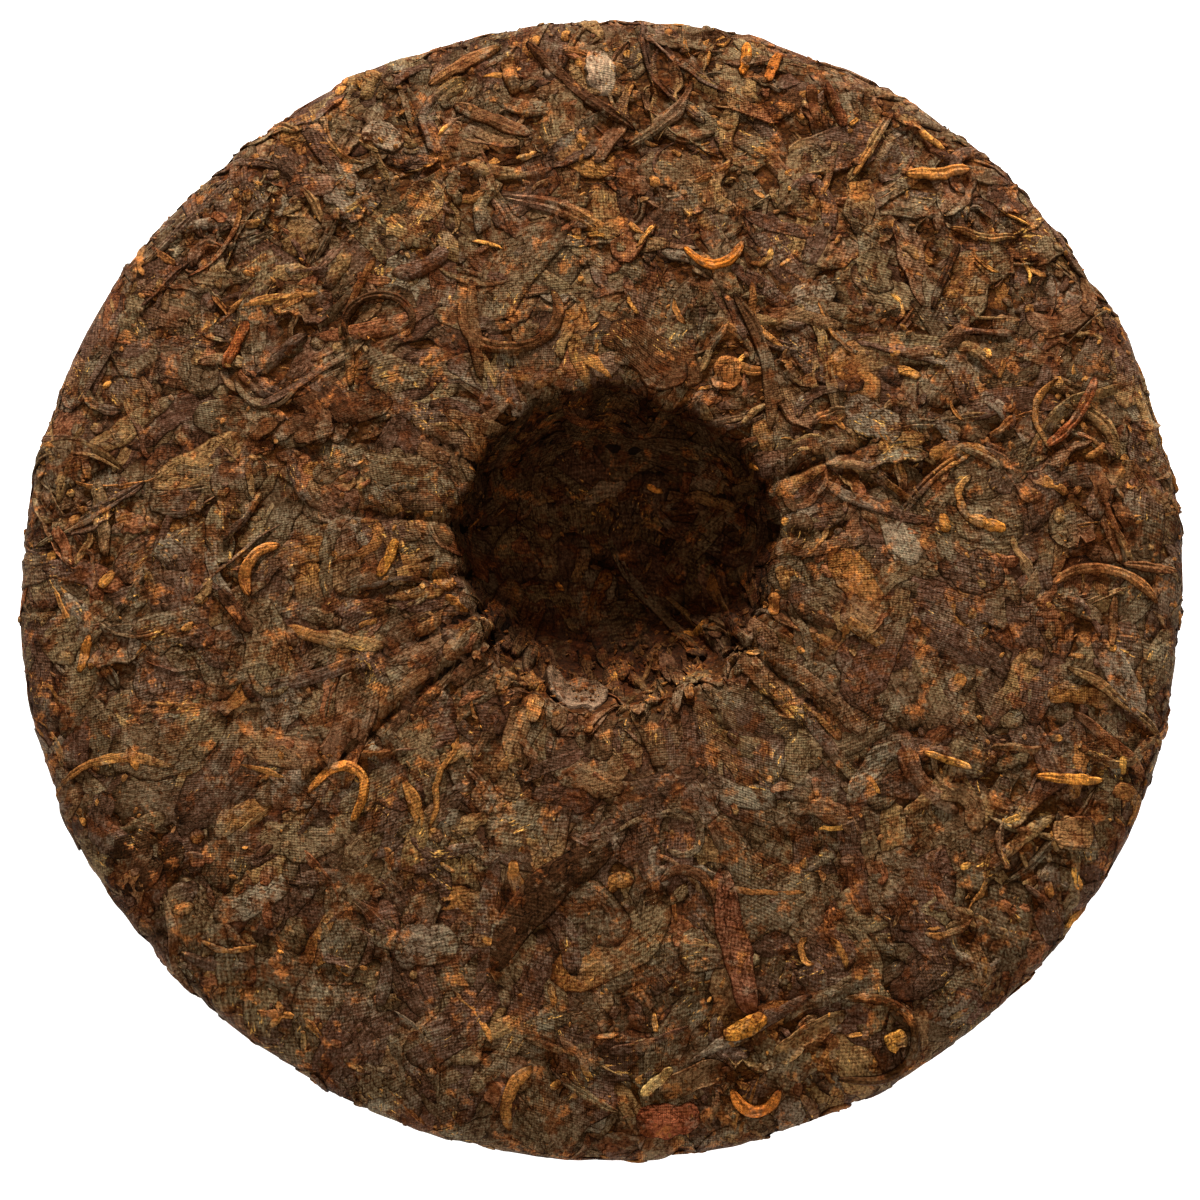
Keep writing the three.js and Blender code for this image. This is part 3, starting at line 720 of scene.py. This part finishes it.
def scatter(name, side, section, half, count, length, width, thickness, bend, palette):
    """A lot of leaves of one kind. Round the hollow they lie along the pull of the cloth.

    Rolled strips and scraps keep mostly to where the cake is loose.
    """
    start = spread_over(side, count, rng.random() * 6)
    if side.on_back and section is not BLADE:
        more = spread_over(side, 5 * count, rng.random() * 6)
        wanted = looseness(more) ** 2.5 if name.startswith("loose") else 0.16 + looseness(more) ** 1.2
        start = more[rng.choice(len(more), count, replace=False, p=wanted / wanted.sum())]
    away = np.hypot(start[:, 0], start[:, 1])
    outwards = np.arctan2(start[:, 1], start[:, 0])
    pulled = smoothstep(away, 18, 28) * (1 - smoothstep(away, 42, 66)) if side.on_back else np.zeros(count)
    stray = rng.normal(0, 1, count) * (0.6 + 2.2 * (1 - pulled))
    sizes = {
        "start": start,
        "heading": outwards + stray + math.pi * rng.integers(0, 2, count),
        "length": between(*length, count, 1.5) * (1 - 0.2 * pulled),
        "width": between(*width, count, 1.4) * (1 - 0.3 * pulled),
        "thickness": between(*thickness, count),
        "bend": np.radians(rng.normal(0, bend, count)),
        "pinch": rng.random(count),
        "wiggle": np.radians(rng.normal(0, 1.2 * bend, count)),
        "blunt": between(1.4, 6, (count, 2)),
        "torn": between(0.05, 0.22, count),
        "phases": rng.random((2, count, 5)),
        "ripple": between(0.5, 3, count),
        "fold": rng.normal(0, 0.3, count),
        "tilt": rng.normal(0, 0.4, count),
        "rise": np.zeros(count),
        "tint": tints(palette, count),
        "end": tints(palette * 2 + RUSTY[:1] + RED[:1], count),
        "turning": between(-0.3, 0.5, count),
    }
    return Leaves(name, side, section, half, sizes)


# Name, side, cross-section, half the number of stations, how many, length, width, thickness, bend, colours,
# material
LOTS = [
    ("blades_deep", back, BLADE, 4, 700, (12, 24), (6, 13), (0.15, 0.3), 30, DARK, pressed_leaf),
    ("blades_dark", back, BLADE, 5, 640, (9, 26), (3, 10), (0.1, 0.24), 45, DARK, pressed_leaf),
    ("blades_brown", back, BLADE, 5, 500, (8, 22), (2.5, 8), (0.1, 0.24), 45, BROWN + DARK * 2, pressed_leaf),
    ("blades_grey", back, BLADE, 5, 200, (7, 18), (3, 8), (0.1, 0.24), 40, GREY + DARK[:2] + BROWN[:1],
     pressed_leaf),
    ("blades_rusty", back, BLADE, 4, 190, (3, 10), (1.5, 4), (0.1, 0.24), 40, RED + RUSTY[2:] + BROWN[:3],
     pressed_leaf),
    ("strips_dark", back, ROLLED, 6, 300, (7, 24), (1.4, 4), (0.4, 0.9), 80, DARK + GREY[:1] + BROWN[:3],
     rolled_leaf),
    ("strips_brown", back, ROLLED, 5, 240, (6, 18), (1.2, 3.4), (0.35, 0.8), 80, BROWN + RED[:1] + RUSTY,
     rolled_leaf),
    ("loose_strips", back, FOLDED, 7, 150, (9, 28), (1.5, 4.2), (0.4, 0.9), 45, DARK + BROWN + RUSTY[:1],
     rolled_leaf),
    ("loose_blades", back, CURLED, 5, 170, (8, 20), (4, 9), (0.35, 0.8), 40, DARK + BROWN, pressed_leaf),
    ("golden_buds", back, ROLLED, 3, 120, (2, 7), (0.8, 1.9), (0.2, 0.5), 50, GOLD + RUSTY, bud_leaf),
    ("scraps", back, SCRAP, 2, 1000, (1.5, 5), (0.8, 2.6), (0.12, 0.35), 40,
     BROWN + DARK + RUSTY[:1] + GOLD[:1], pressed_leaf),
    ("face_blades_deep", face, BLADE, 4, 440, (12, 24), (6, 13), (0.15, 0.3), 30, DARK + BROWN[:2],
     pressed_leaf),
    ("face_blades", face, BLADE, 4, 640, (8, 20), (4, 10), (0.12, 0.28), 35, DARK + BROWN + GREY,
     pressed_leaf),
    ("face_strips", face, ROLLED, 5, 230, (9, 26), (1.4, 2.8), (0.3, 0.6), 60, DARK + BROWN, rolled_leaf),
    ("face_buds", face, ROLLED, 3, 90, (3, 8), (0.9, 1.9), (0.2, 0.4), 40, GOLD[:2] + RUSTY, bud_leaf),
]

lots = [scatter(*row[:-1]) for row in LOTS]

# The leaves that stand out on the back: x, y, heading, length, bend, width, thickness, pinch, rise, tint
RINGS_AND_LOOPS = [
    (-15.7, 37.8, 0, 33, 250, 2.4, 0.9, 0, 0, "5a4028"), (-38.6, 47.9, 0, 24, -260, 1.7, 0.8, 0, 0, "3a2c1e"),
    (52.8, -80, -90, 34, -185, 1.9, 0.9, 1, 0, "44331f"),
    (-42.2, -34.5, -35, 19, -170, 1.9, 0.8, 1, 0, "a86c30"),
    (86.3, 1, -5, 22, -110, 2, 0.8, 0, 0, "6d4a2c"), (15.4, -52, -20, 13, -150, 1.8, 0.7, 0, 0, "4b3626"),
    (19.9, 53.6, 10, 14, 110, 2, 0.8, 1, 0, "b06a26"), (25.8, -92, 0, 12, 150, 2.2, 0.9, 0.5, 0, "a8642a"),
]
STRIPS_AND_STALKS = [
    (-22, 41.6, -86, 19, 8, 2.3, 0.9, 0, 0, "5a432c"), (28.2, 36.4, -80, 27, -40, 2.7, 0.9, 1, 0, "4c3a28"),
    (-43.4, 36.4, -88, 10, 0, 1.8, 0.8, 0, 0, "44331f"), (-63.3, 40, -113, 9.5, 5, 2.3, 0.8, 0, 0, "74401f"),
    (-63, -7, -56, 9.5, 0, 2.2, 0.9, 0, 0, "3a2b20"), (-24.4, 91, 30, 14.5, -15, 2.7, 0.8, 0, 0, "6d4a2c"),
    (-16.3, 89, -80, 9, 20, 2.8, 1.1, 0, 0, "664628"), (-4.5, 86, -45, 26, 15, 2.5, 0.9, 0, 0, "4b3626"),
    (-19.2, 80.3, -28, 15, -6, 3.2, 0.8, 0, 0, "5a4029"), (24.9, 92, 80, 7, 10, 2, 0.8, 0, 0, "b06a26"),
    (29.6, 90.4, 70, 7, -20, 2, 0.8, 0, 0, "a8642a"), (58, 71, 8, 11.5, 12, 2.4, 0.9, 0, 0, "a87038"),
    (40.5, 83, 110, 8.5, 10, 2.4, 0.7, 0, 3, "5e3a24"), (36.6, 83.4, 100, 7, 0, 2.2, 0.7, 0, 2, "6a452c"),
    (59, 52, -113, 14, 6, 1.7, 0.7, 0, 0, "33261c"), (81.5, 27.6, -125, 17, -35, 2, 0.8, 0.5, 0, "7a4526"),
    (94, 1.6, -3, 10, 0, 1.8, 0.8, 0, 0, "6a4a30"), (87.4, -8.1, -95, 9, -10, 1.8, 0.8, 0, 0, "5a4029"),
    (79.4, -35.5, 0, 12, 8, 1.8, 0.6, 0, 0, "b07634"), (9, -87.2, 40, 7, 0, 2, 0.7, 0, 0, "c8a468"),
    (-60.7, 1.2, 60, 12, -120, 2.1, 0.8, 0.5, 0, "9a6230"), (-36.8, 1.7, 60, 7.5, 10, 2, 0.7, 0, 0, "a8702e"),
    (58.6, -32.7, -12, 9, 0, 1.3, 0.6, 0, 0, "b88240"), (-88.7, -13.7, 75, 6.5, 0, 1.8, 0.6, 0, 0, "96602a"),
    (65.6, 8.2, -10, 7, 0, 2.4, 0.6, 0, 0, "a8702e"), (58.3, 8.2, -80, 3.5, 0, 2, 0.6, 0, 0, "96602a"),
]
BROAD_LEAVES = [
    (-10.5, -55.9, 45, 28, -60, 6.5, 0.55, 0, 0, "382b20"), (22, -63.8, -75, 24, 15, 5, 0.55, 0, 0, "684432"),
    (8, 38, -30, 15, 60, 9, 0.6, 0, 0, "4f3a28"), (-0.5, 89, -80, 10, 0, 5, 0.6, 0, 0, "857260"),
    (-38.2, 77.5, -35, 8, 0, 5, 0.6, 0, 0, "7c6a58"), (80, -44.5, 0, 7.5, 0, 5.5, 0.6, 0, 0, "8a6642"),
    (11, -93.5, 0, 11, 0, 6, 0.5, 0, 0, "74422c"), (21.5, 34.6, 80, 6.5, 0, 5, 0.8, 0, 0, "8a5a30"),
    (24, -78, 25, 8, 0, 3.2, 0.8, 0, 0, "a8702e"), (-4.6, -18.6, 165, 11, 20, 7, 1.0, 0, 2, "7a6a5c"),
    (49.6, -80, 30, 4, 0, 3.5, 0.9, 0, 0, "b8823c"),
]


# The tables' colours are those that show in the light; the material's own are this much darker
STANDING_SHADE = np.array([0.74, 0.66, 0.56])


def placed(name, section, half, table, spring=0.6):
    """The leaves of a table that gives each its own place."""
    count = len(table)
    values = np.array([row[:9] for row in table], float)
    tint = np.array([linear(row[9]) for row in table]) * STANDING_SHADE
    sizes = {
        "start": np.array([back.over_plan(x, y) for x, y in values[:, :2]]),
        "heading": np.radians(values[:, 2]),
        "length": values[:, 3],
        "bend": np.radians(values[:, 4]),
        "width": values[:, 5],
        "thickness": values[:, 6],
        "pinch": values[:, 7],
        "rise": values[:, 8],
        "wiggle": np.zeros(count),
        "blunt": np.full((count, 2), 4.0),
        "torn": np.full(count, 0.09),
        "phases": rng.random((2, count, 5)),
        "ripple": between(0.5, 2, count),
        "fold": rng.normal(0, 0.15, count),
        "tilt": rng.normal(0, 0.15, count),
        "tint": tint,
        "end": tint * between(0.7, 1.3, (count, 1)),
        "turning": between(-0.3, 0.4, count),
    }
    return Leaves(name, back, section, half, sizes, spring)


# Lumps of leaf: x, y, how far they spread along x and y, how many leaves, length, width, thickness, tint
HEAPS = [
    (-50.3, 27.6, 7, 3, 12, 9, 4, 0.5, "4b3828"), (-80, -50, 3.8, 4.2, 9, 8, 4, 0.45, "35281d"),
    (-59, 24, 2.5, 2, 4, 6, 3, 0.6, "5a4028"), (37, 84, 5, 4, 8, 9, 3, 0.7, "4b3626"),
    (8, 37, 5, 2, 6, 9, 4, 0.45, "59412c"), (-5, 84, 7, 4, 9, 10, 3.2, 0.6, "54402c"),
    (74, 62, 4, 4, 7, 9, 4, 0.6, "4e3a28"), (88, 12, 3, 5, 7, 8, 3.4, 0.6, "5c4029"),
]


def heaped():
    """The leaves of the heaps as one table, the first ones at the edge of their heap."""
    rows = []
    for x, y, wide, high, count, length, width, thickness, tint in HEAPS:
        for k in range(count):
            away, turn = 1.4 * math.sqrt(1 - (k + 0.5) / count), k * GOLDEN_ANGLE
            size = rng.uniform(0.7, 1.25)
            lighter = rng.uniform(0.8, 1.3)
            shade = "".join(f"{int(int(tint[i : i + 2], 16) * lighter):02x}" for i in (0, 2, 4))
            rows.append((
                x + wide * away * math.cos(turn), y + high * away * math.sin(turn), rng.uniform(0, 360),
                length * size, rng.uniform(-70, 70), width * size, thickness, rng.random(), 0, shade,
            ))
    return rows


def beside_the_creases():
    """Leaves folded along the pleats of the cloth: overlapping rows whose edges meet over the crease."""
    rows = []
    for direction, start, end, depth in CREASES:
        for aside in (-1, 1):
            r = start + rng.uniform(1, 8)
            while r < start + (0.5 * depth - 0.1) * (end - start):
                length, width = rng.uniform(5, 12), rng.uniform(1.8, 4.2)
                angle = math.radians(direction)
                off = aside * (0.5 * width + rng.uniform(0.1, 0.5))
                middle = r + 0.5 * length
                x = LIP_CENTRE[0] + middle * math.cos(angle) - off * math.sin(angle)
                y = LIP_CENTRE[1] + middle * math.sin(angle) + off * math.cos(angle)
                rows.append((x, y, direction + rng.uniform(-13, 13), length, rng.uniform(-50, 50), width,
                             rng.uniform(0.06, 0.14) * (0.6 + depth), rng.random(), 0,
                             PLEAT_TINTS[rng.integers(0, len(PLEAT_TINTS))]))
                r += rng.uniform(0.6, 1.1) * length
    return rows


def along_the_lip():
    """Leaves along the sharp upper edge of the hollow, and small broken ones on its worn lower edge."""
    rows = []
    turn, lower_side = SHARP_ARC[0], (SHARP_ARC[1], 360 + SHARP_ARC[0] - 5)
    while turn < SHARP_ARC[1]:
        length, width = rng.uniform(4, 9), rng.uniform(1.6, 4.2)
        r = LIP_EDGE + 0.5 * width + rng.uniform(-0.4, 1.4)
        arc_turn = math.degrees(length / r)
        middle = math.radians(turn + 0.5 * arc_turn)
        rows.append((LIP_CENTRE[0] + r * math.cos(middle), LIP_CENTRE[1] + r * math.sin(middle),
                     math.degrees(middle) + 90 + rng.uniform(-40, 40), length, arc_turn, width,
                     rng.uniform(0.2, 0.45), 0, 0, LIP_TINTS[rng.integers(0, len(LIP_TINTS))]))
        turn += rng.uniform(0.9, 2.0) * arc_turn
    for _ in range(BROKEN_LEAVES):
        middle = math.radians(rng.uniform(*lower_side))
        r = LIP_EDGE + rng.uniform(-9, 2)
        rows.append((LIP_CENTRE[0] + r * math.cos(middle), LIP_CENTRE[1] + r * math.sin(middle),
                     math.degrees(middle) + rng.uniform(-45, 45), rng.uniform(3, 8), rng.uniform(-60, 60),
                     rng.uniform(1.4, 3.4), rng.uniform(0.3, 0.8), 0, rng.uniform(0, 1.2),
                     LIP_TINTS[rng.integers(0, len(LIP_TINTS))]))
    return rows


LIP_EDGE = 28.2
# Directions in degrees between which the hollow's edge is sharp, and the number of broken leaves on the rest
SHARP_ARC = (-25.0, 205.0)
BROKEN_LEAVES = 90
LIP_TINTS = ["624a36", "56442f", "70502f", "4e3e2e", "5e4830", "805428", "665040"]
PLEAT_TINTS = ["5e4a38", "4e3e2e", "6a4e34", "72522f", "4a3a2c", "5a4430"]

standing_out = [
    placed("pleated_leaves", BLADE, 6, beside_the_creases(), 0.1),
    placed("lip_leaves", BLADE, 6, along_the_lip()),
    placed("heaped_leaves", BLADE, 5, heaped()),
    placed("broad_leaves", BLADE, 9, BROAD_LEAVES),
    placed("stalks", ROLLED, 9, STRIPS_AND_STALKS),
    placed("rings_and_loops", ROLLED, 14, RINGS_AND_LOOPS),
]

# Leaves are laid in order of a random number to which these are added: deep ones mostly come first, and
# scraps, buds and what stands out mostly late
LATER, OTHERS_LATER = {"deep": 0.0, "buds": 0.85, "scraps": 0.55}, 0.35
STANDING_LATER, ON_TOP_LATER, STANDING_SPREAD = 0.9, 0.5, 0.3
ON_TOP = ("stalks", "rings_and_loops", "broad_leaves")
order = [
    (rng.random() + LATER.get(lot.name.split("_")[-1], OTHERS_LATER), i, k)
    for i, lot in enumerate(lots)
    for k in range(lot.count)
]
first_standing = len(lots)
order += [
    (STANDING_LATER + (ON_TOP_LATER if lot.name in ON_TOP else 0) + STANDING_SPREAD * rng.random(),
     first_standing + i, k)
    for i, lot in enumerate(standing_out)
    for k in range(lot.count)
]
lots += standing_out
for _, i, k in sorted(order):
    lots[i].lay(k)
back.press()
face.press()

made = []
for row, lot in zip(LOTS, lots):
    made.append(lot.build(row[-1], lot.name))
for lot, material in zip(standing_out, (pressed_leaf,) * 4 + (rolled_leaf,) * 2):
    made.append(lot.build(material, lot.name))

# The core of packed dust.

CORE_DEPTH, FACE_CORE_DEPTH = 0.45, 1.0
CORE_SECTORS, CORE_RINGS = 260, 300
POLE_GAP = 0.4
DUST_HEIGHT = 0.03
DUST_BROWN = "35220f"


def build_core():
    """A closed body just below the leaves, from pole to pole, rough with dust."""
    s = np.linspace(POLE_GAP, UNDER_POLE - POLE_GAP, CORE_RINGS)
    angle = np.arange(CORE_SECTORS) / CORE_SECTORS * 2 * math.pi
    s, angle = np.meshgrid(s, angle, indexing="ij")
    r = section_at(s)[0]
    x, y = r * np.cos(angle), r * np.sin(angle)
    rough = DUST_HEIGHT * wave_field(x, y, 9, 2.5, 9, 1.3) * smoothstep(r, 0, 6)
    depth = CORE_DEPTH + (FACE_CORE_DEPTH - CORE_DEPTH) * smoothstep(s, EQUATOR - 4, EQUATOR + 12)
    verts = skin(s, angle, rough - depth)
    ends = skin(np.array([0.0, UNDER_POLE]), np.zeros(2), np.array([-CORE_DEPTH, -FACE_CORE_DEPTH]))
    verts = np.vstack([verts.reshape(-1, 3), ends]) * MM
    a = np.arange(CORE_RINGS - 1)[:, None] * CORE_SECTORS + np.arange(CORE_SECTORS)[None]
    b = np.arange(CORE_RINGS - 1)[:, None] * CORE_SECTORS + (np.arange(CORE_SECTORS)[None] + 1) % CORE_SECTORS
    quads = np.stack([a, a + CORE_SECTORS, b + CORE_SECTORS, b], -1).reshape(-1, 4)
    i = np.arange(CORE_SECTORS)
    after = (i + 1) % CORE_SECTORS
    last = (CORE_RINGS - 1) * CORE_SECTORS
    pole = np.full(CORE_SECTORS, CORE_RINGS * CORE_SECTORS)
    top = np.stack([pole, i, after], -1)
    bottom = np.stack([pole + 1, last + after, last + i], -1)
    loops = np.concatenate([quads.ravel(), top.ravel(), bottom.ravel()])
    sizes = np.concatenate([np.full(len(quads), 4), np.full(2 * CORE_SECTORS, 3)])
    flat = verts[:, :2] / MM
    on_chart_of_back = np.stack([s * np.cos(angle), s * np.sin(angle)], -1).reshape(-1, 2)
    # The core gets the hollow's painted shade too
    unshaded = np.concatenate([free_of_hollow_shade(back, on_chart_of_back), [0, 1]])
    return joined_mesh(
        "core", packed_dust, verts, loops, sizes, {"leaf": flat, "cloth": flat},
        np.c_[np.tile(linear(DUST_BROWN), (len(verts), 1)), unshaded], {"proud": np.zeros(len(verts))},
    )


# Crumbs, strewn by Geometry Nodes.

SHEET_CELL = 0.9


def pressed_sheet(side, name):
    """An open sheet along the pressed pile, with how readily crumbs lie there, and how free they are of the
    hollow's painted shade.
    """
    reach = side.reach - OVERLAP
    ticks = np.arange(-reach, reach, SHEET_CELL)
    x, y = np.meshgrid(ticks, ticks, indexing="ij")
    p = np.stack([x, y], -1)
    lift, proud = side.pressed(p, side.pile.ravel()[side.index(p)])
    s, angle = side.place(p)
    verts = skin(s, angle, lift).reshape(-1, 3) * MM
    n = len(ticks)
    a = (np.arange(n - 1)[:, None] * n + np.arange(n - 1)[None]).ravel()
    quads = np.stack([a, a + n, a + n + 1, a + 1], -1)
    inside = np.hypot(x, y).ravel()[quads].max(1) < reach
    mesh = bpy.data.meshes.new(name)
    mesh.from_pydata(verts.tolist(), [], quads[inside].tolist())
    away = np.hypot(x, y)
    slope = smoothstep(away, 16, 24) * (1 - smoothstep(away, 30, 38)) * smoothstep(-y, 0, away)
    slope = slope * side.on_back
    loose = looseness(p) if side.on_back else np.zeros_like(x)
    wanted = 0.12 + 1.2 * slope + 0.4 * loose + 1.2 * smoothstep(-proud, 0.05, 0.4)
    for label, numbers in {"wanted": wanted, "unshaded": free_of_hollow_shade(side, p)}.items():
        numbers = numbers.astype(np.float32).ravel()
        mesh.attributes.new(label, "FLOAT", "POINT").data.foreach_set("value", numbers)
    sheet = bpy.data.objects.new(name, mesh)
    bpy.context.scene.collection.objects.link(sheet)
    return sheet


def crumb_tree():
    """The node group that strews crumbs: angular bits of leaf, each of its own size, turn and tint."""
    tree = bpy.data.node_groups.new("strew_crumbs", "GeometryNodeTree")
    for label, kind in (("Sheet", "Geometry"), ("Crumbs per square metre", "Float"), ("Smallest", "Float"),
                        ("Largest", "Float"), ("Seed", "Int"), ("Material", "Material")):
        tree.interface.new_socket(label, in_out="INPUT", socket_type="NodeSocket" + kind)
    tree.interface.new_socket("Crumbs", in_out="OUTPUT", socket_type="NodeSocketGeometry")
    given = node(tree, "NodeGroupInput").outputs
    wanted = node(tree, "GeometryNodeInputNamedAttribute", {"data_type": "FLOAT"}, Name="wanted").outputs[0]
    density = node(tree, "ShaderNodeMath", {"operation": "MULTIPLY"}, _0=wanted,
                   _1=given["Crumbs per square metre"])
    points = node(tree, "GeometryNodeDistributePointsOnFaces", None, Mesh=given["Sheet"],
                  Density=density.outputs[0], Seed=given["Seed"])
    ball = node(tree, "GeometryNodeMeshIcoSphere", None, Radius=1.0, Subdivisions=1).outputs[0]

    def chance(low, high, shift, kind="FLOAT"):
        """A random value for each crumb, its own draw for each shift of the seed."""
        seed = node(tree, "ShaderNodeMath", {"operation": "ADD"}, _0=given["Seed"], _1=shift).outputs[0]
        first, result = (2, 1) if kind == "FLOAT" else (0, 0)
        ends = {f"_{first}": low, f"_{first + 1}": high}
        return node(tree, "FunctionNodeRandomValue", {"data_type": kind}, Seed=seed, **ends).outputs[result]

    spread = chance(0.0, 1.0, 3)
    few_large = node(tree, "ShaderNodeMath", {"operation": "POWER"}, _0=spread, _1=2.5).outputs[0]
    size = node(tree, "ShaderNodeMapRange", None, _0=few_large, _3=given["Smallest"],
                _4=given["Largest"]).outputs[0]
    shape = chance((0.6, 0.3, 0.16), (1.0, 0.6, 0.4), 5, "FLOAT_VECTOR")
    scale = node(tree, "ShaderNodeVectorMath", {"operation": "SCALE"}, _0=shape, Scale=size).outputs[0]
    lean = chance((-0.5, -0.5, -3.14), (0.5, 0.5, 3.14), 7, "FLOAT_VECTOR")
    turned = node(tree, "FunctionNodeRotateRotation", {"rotation_space": "LOCAL"},
                  _0=points.outputs["Rotation"], _1=lean)
    strewn = node(tree, "GeometryNodeInstanceOnPoints", None, Points=points.outputs[0], Instance=ball,
                  Rotation=turned.outputs[0], Scale=scale)
    brown = node(tree, "ShaderNodeMix", {"data_type": "RGBA"}, _0=chance(0.0, 1.0, 11),
                 _6=(*linear(DARK[0]), 1), _7=(*linear(RUSTY[0]), 1)).outputs[2]
    is_gold = node(tree, "ShaderNodeMapRange", None, _0=chance(0.0, 1.0, 13), _1=0.9, _2=0.99).outputs[0]
    tint = node(tree, "ShaderNodeMix", {"data_type": "RGBA"}, _0=is_gold, _6=brown,
                _7=(*linear(GOLD[1]), 1)).outputs[2]
    split = node(tree, "FunctionNodeSeparateColor", None, Color=tint).outputs
    # How free each crumb is of the hollow's painted shade
    unshaded = node(tree, "GeometryNodeInputNamedAttribute", {"data_type": "FLOAT"}, Name="unshaded").outputs[0]
    hollow_shaded = node(tree, "FunctionNodeCombineColor", None, Red=split[0], Green=split[1], Blue=split[2],
                  Alpha=unshaded)
    tinted = node(tree, "GeometryNodeStoreNamedAttribute", {"data_type": "FLOAT_COLOR", "domain": "INSTANCE"},
                  Geometry=strewn.outputs[0], Name="tint", Value=hollow_shaded.outputs[0])
    real = node(tree, "GeometryNodeRealizeInstances", None, Geometry=tinted.outputs[0])
    position = node(tree, "GeometryNodeInputPosition").outputs[0]
    rough = node(tree, "ShaderNodeTexNoise", None, Vector=position, Scale=900.0, Detail=1.0).outputs["Color"]
    pushed = node(tree, "ShaderNodeVectorMath", {"operation": "MULTIPLY_ADD"}, _0=rough, _1=(0.0007,) * 3,
                  _2=(-0.00035,) * 3)
    torn = node(tree, "GeometryNodeSetPosition", None, Geometry=real.outputs[0], Offset=pushed.outputs[0])
    named = node(tree, "GeometryNodeSetMaterial", None, Geometry=torn.outputs[0], Material=given["Material"])
    tree.links.new(named.outputs[0], node(tree, "NodeGroupOutput").inputs[0])
    return tree


def strew(side, name, inputs):
    """Crumbs on one side as a mesh of their own; the sheet that they were strewn on goes."""
    sheet = pressed_sheet(side, name + "_sheet")
    strewing = sheet.modifiers.new("strewing", "NODES")
    strewing.node_group = crumb_group
    for item in crumb_group.interface.items_tree:
        if item.name in inputs:
            strewing[item.identifier] = inputs[item.name]
    sheet.update_tag()
    done = sheet.evaluated_get(bpy.context.evaluated_depsgraph_get())
    mesh = bpy.data.meshes.new_from_object(done)
    bpy.data.objects.remove(sheet, do_unlink=True)
    mesh.name = name
    crumbs = bpy.data.objects.new(name, mesh)
    bpy.context.scene.collection.objects.link(crumbs)
    return crumbs


crumb_group = crumb_tree()
crumb_sizes = {"Smallest": 0.0003, "Largest": 0.0011, "Material": packed_dust}
# Side, name, crumbs per square metre, seed
for side, name, density, seed in ((back, "crumbs", 150000.0, 5), (face, "face_crumbs", 60000.0, 8)):
    made.append(strew(side, name, {**crumb_sizes, "Crumbs per square metre": density, "Seed": seed}))

core = build_core()
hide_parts("tea_cake")
for piece in [core, *made]:
    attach(piece, "root")

# Floor, light and camera.

FLOOR_REACH, FLOOR_DROP = 3.0, 0.0002
TABLE_GLOW, ROOM_GLOW = 0.95, 0.15
corners = [(x * FLOOR_REACH, y * FLOOR_REACH, 0) for x, y in ((-1, -1), (1, -1), (1, 1), (-1, 1))]
floor_mesh = bpy.data.meshes.new("floor")
floor_mesh.from_pydata(corners, [], [(0, 1, 2, 3)])
floor = bpy.data.objects.new("floor", floor_mesh)
floor.location.z = -FLOOR_DROP
bpy.context.scene.collection.objects.link(floor)
white = bpy.data.materials.new("white_light_table")
white.use_nodes = True
table_shader = white.node_tree.nodes["Principled BSDF"]
table_shader.inputs["Base Color"].default_value = (*linear("f4f4f2"), 1)
table_shader.inputs["Roughness"].default_value = 0.9
table_shader.inputs["Specular IOR Level"].default_value = 0.1
table_shader.inputs["Emission Color"].default_value = (1, 1, 1, 1)
table_shader.inputs["Emission Strength"].default_value = TABLE_GLOW
white.cycles.emission_sampling = "NONE"
floor_mesh.materials.append(white)


def soft_light(name, azimuth, elevation, distance, size, watts, colour):
    """A square lamp that points at the cake. Azimuth 0 is behind the cake, seen by the camera."""
    lamp = bpy.data.lights.new(name, "AREA")
    lamp.size, lamp.energy, lamp.color = size, watts, colour
    holder = bpy.data.objects.new(name, lamp)
    a, e = math.radians(azimuth), math.radians(elevation)
    holder.location = Vector((math.sin(a) * math.cos(e), math.cos(a) * math.cos(e), math.sin(e))) * distance
    holder.rotation_euler = (-holder.location).to_track_quat("-Z", "Y").to_euler()
    bpy.context.scene.collection.objects.link(holder)


# Name, azimuth, elevation, distance, size, watts, colour
LAMPS = [
    ("key", -2, 17, 4.0, 0.5, 515, (1.0, 0.98, 0.95)),
    ("overhead", 10, 78, 1.8, 1.4, 13, (1.0, 0.99, 0.98)),
    ("front_fill", 180, 35, 2.5, 1.5, 31, (1.0, 0.99, 0.98)),
]
for lamp_row in LAMPS:
    soft_light(*lamp_row)

world = bpy.data.worlds.new("studio")
bpy.context.scene.world = world
world.use_nodes = True
world.node_tree.nodes["Background"].inputs[0].default_value = (1, 1, 1, 1)
world.node_tree.nodes["Background"].inputs[1].default_value = ROOM_GLOW

# The photograph: nearly from above, the cake 1163 of the 1200 pixels wide and a little above the middle
VIEW_ELEVATION = 79.5
VIEW_DISTANCE = 1.1
PHOTO_PIXELS, CAKE_PIXELS = 1200, 1163
CAKE_WIDTH = 200.3
RIGHT_PIXELS, UP_PIXELS, TARGET_HEIGHT = -3.2, -19, 0.012
SENSOR_WIDTH = 36
metres_a_pixel = CAKE_WIDTH / CAKE_PIXELS * MM
camera_data = bpy.data.cameras.new("camera")
camera = bpy.data.objects.new("camera", camera_data)
bpy.context.scene.collection.objects.link(camera)
bpy.context.scene.camera = camera
e = math.radians(VIEW_ELEVATION)
target = Vector((RIGHT_PIXELS * metres_a_pixel, UP_PIXELS * metres_a_pixel, TARGET_HEIGHT))
towards = Vector((0, -math.cos(e), math.sin(e)))
camera.location = target + towards * VIEW_DISTANCE
camera.rotation_euler = (-towards).to_track_quat("-Z", "Y").to_euler()
camera_data.sensor_width = SENSOR_WIDTH
camera_data.lens = SENSOR_WIDTH * VIEW_DISTANCE / (PHOTO_PIXELS * metres_a_pixel)
camera_data.clip_start, camera_data.clip_end = 0.05, 20
bpy.context.scene.view_settings.view_transform = "Standard"
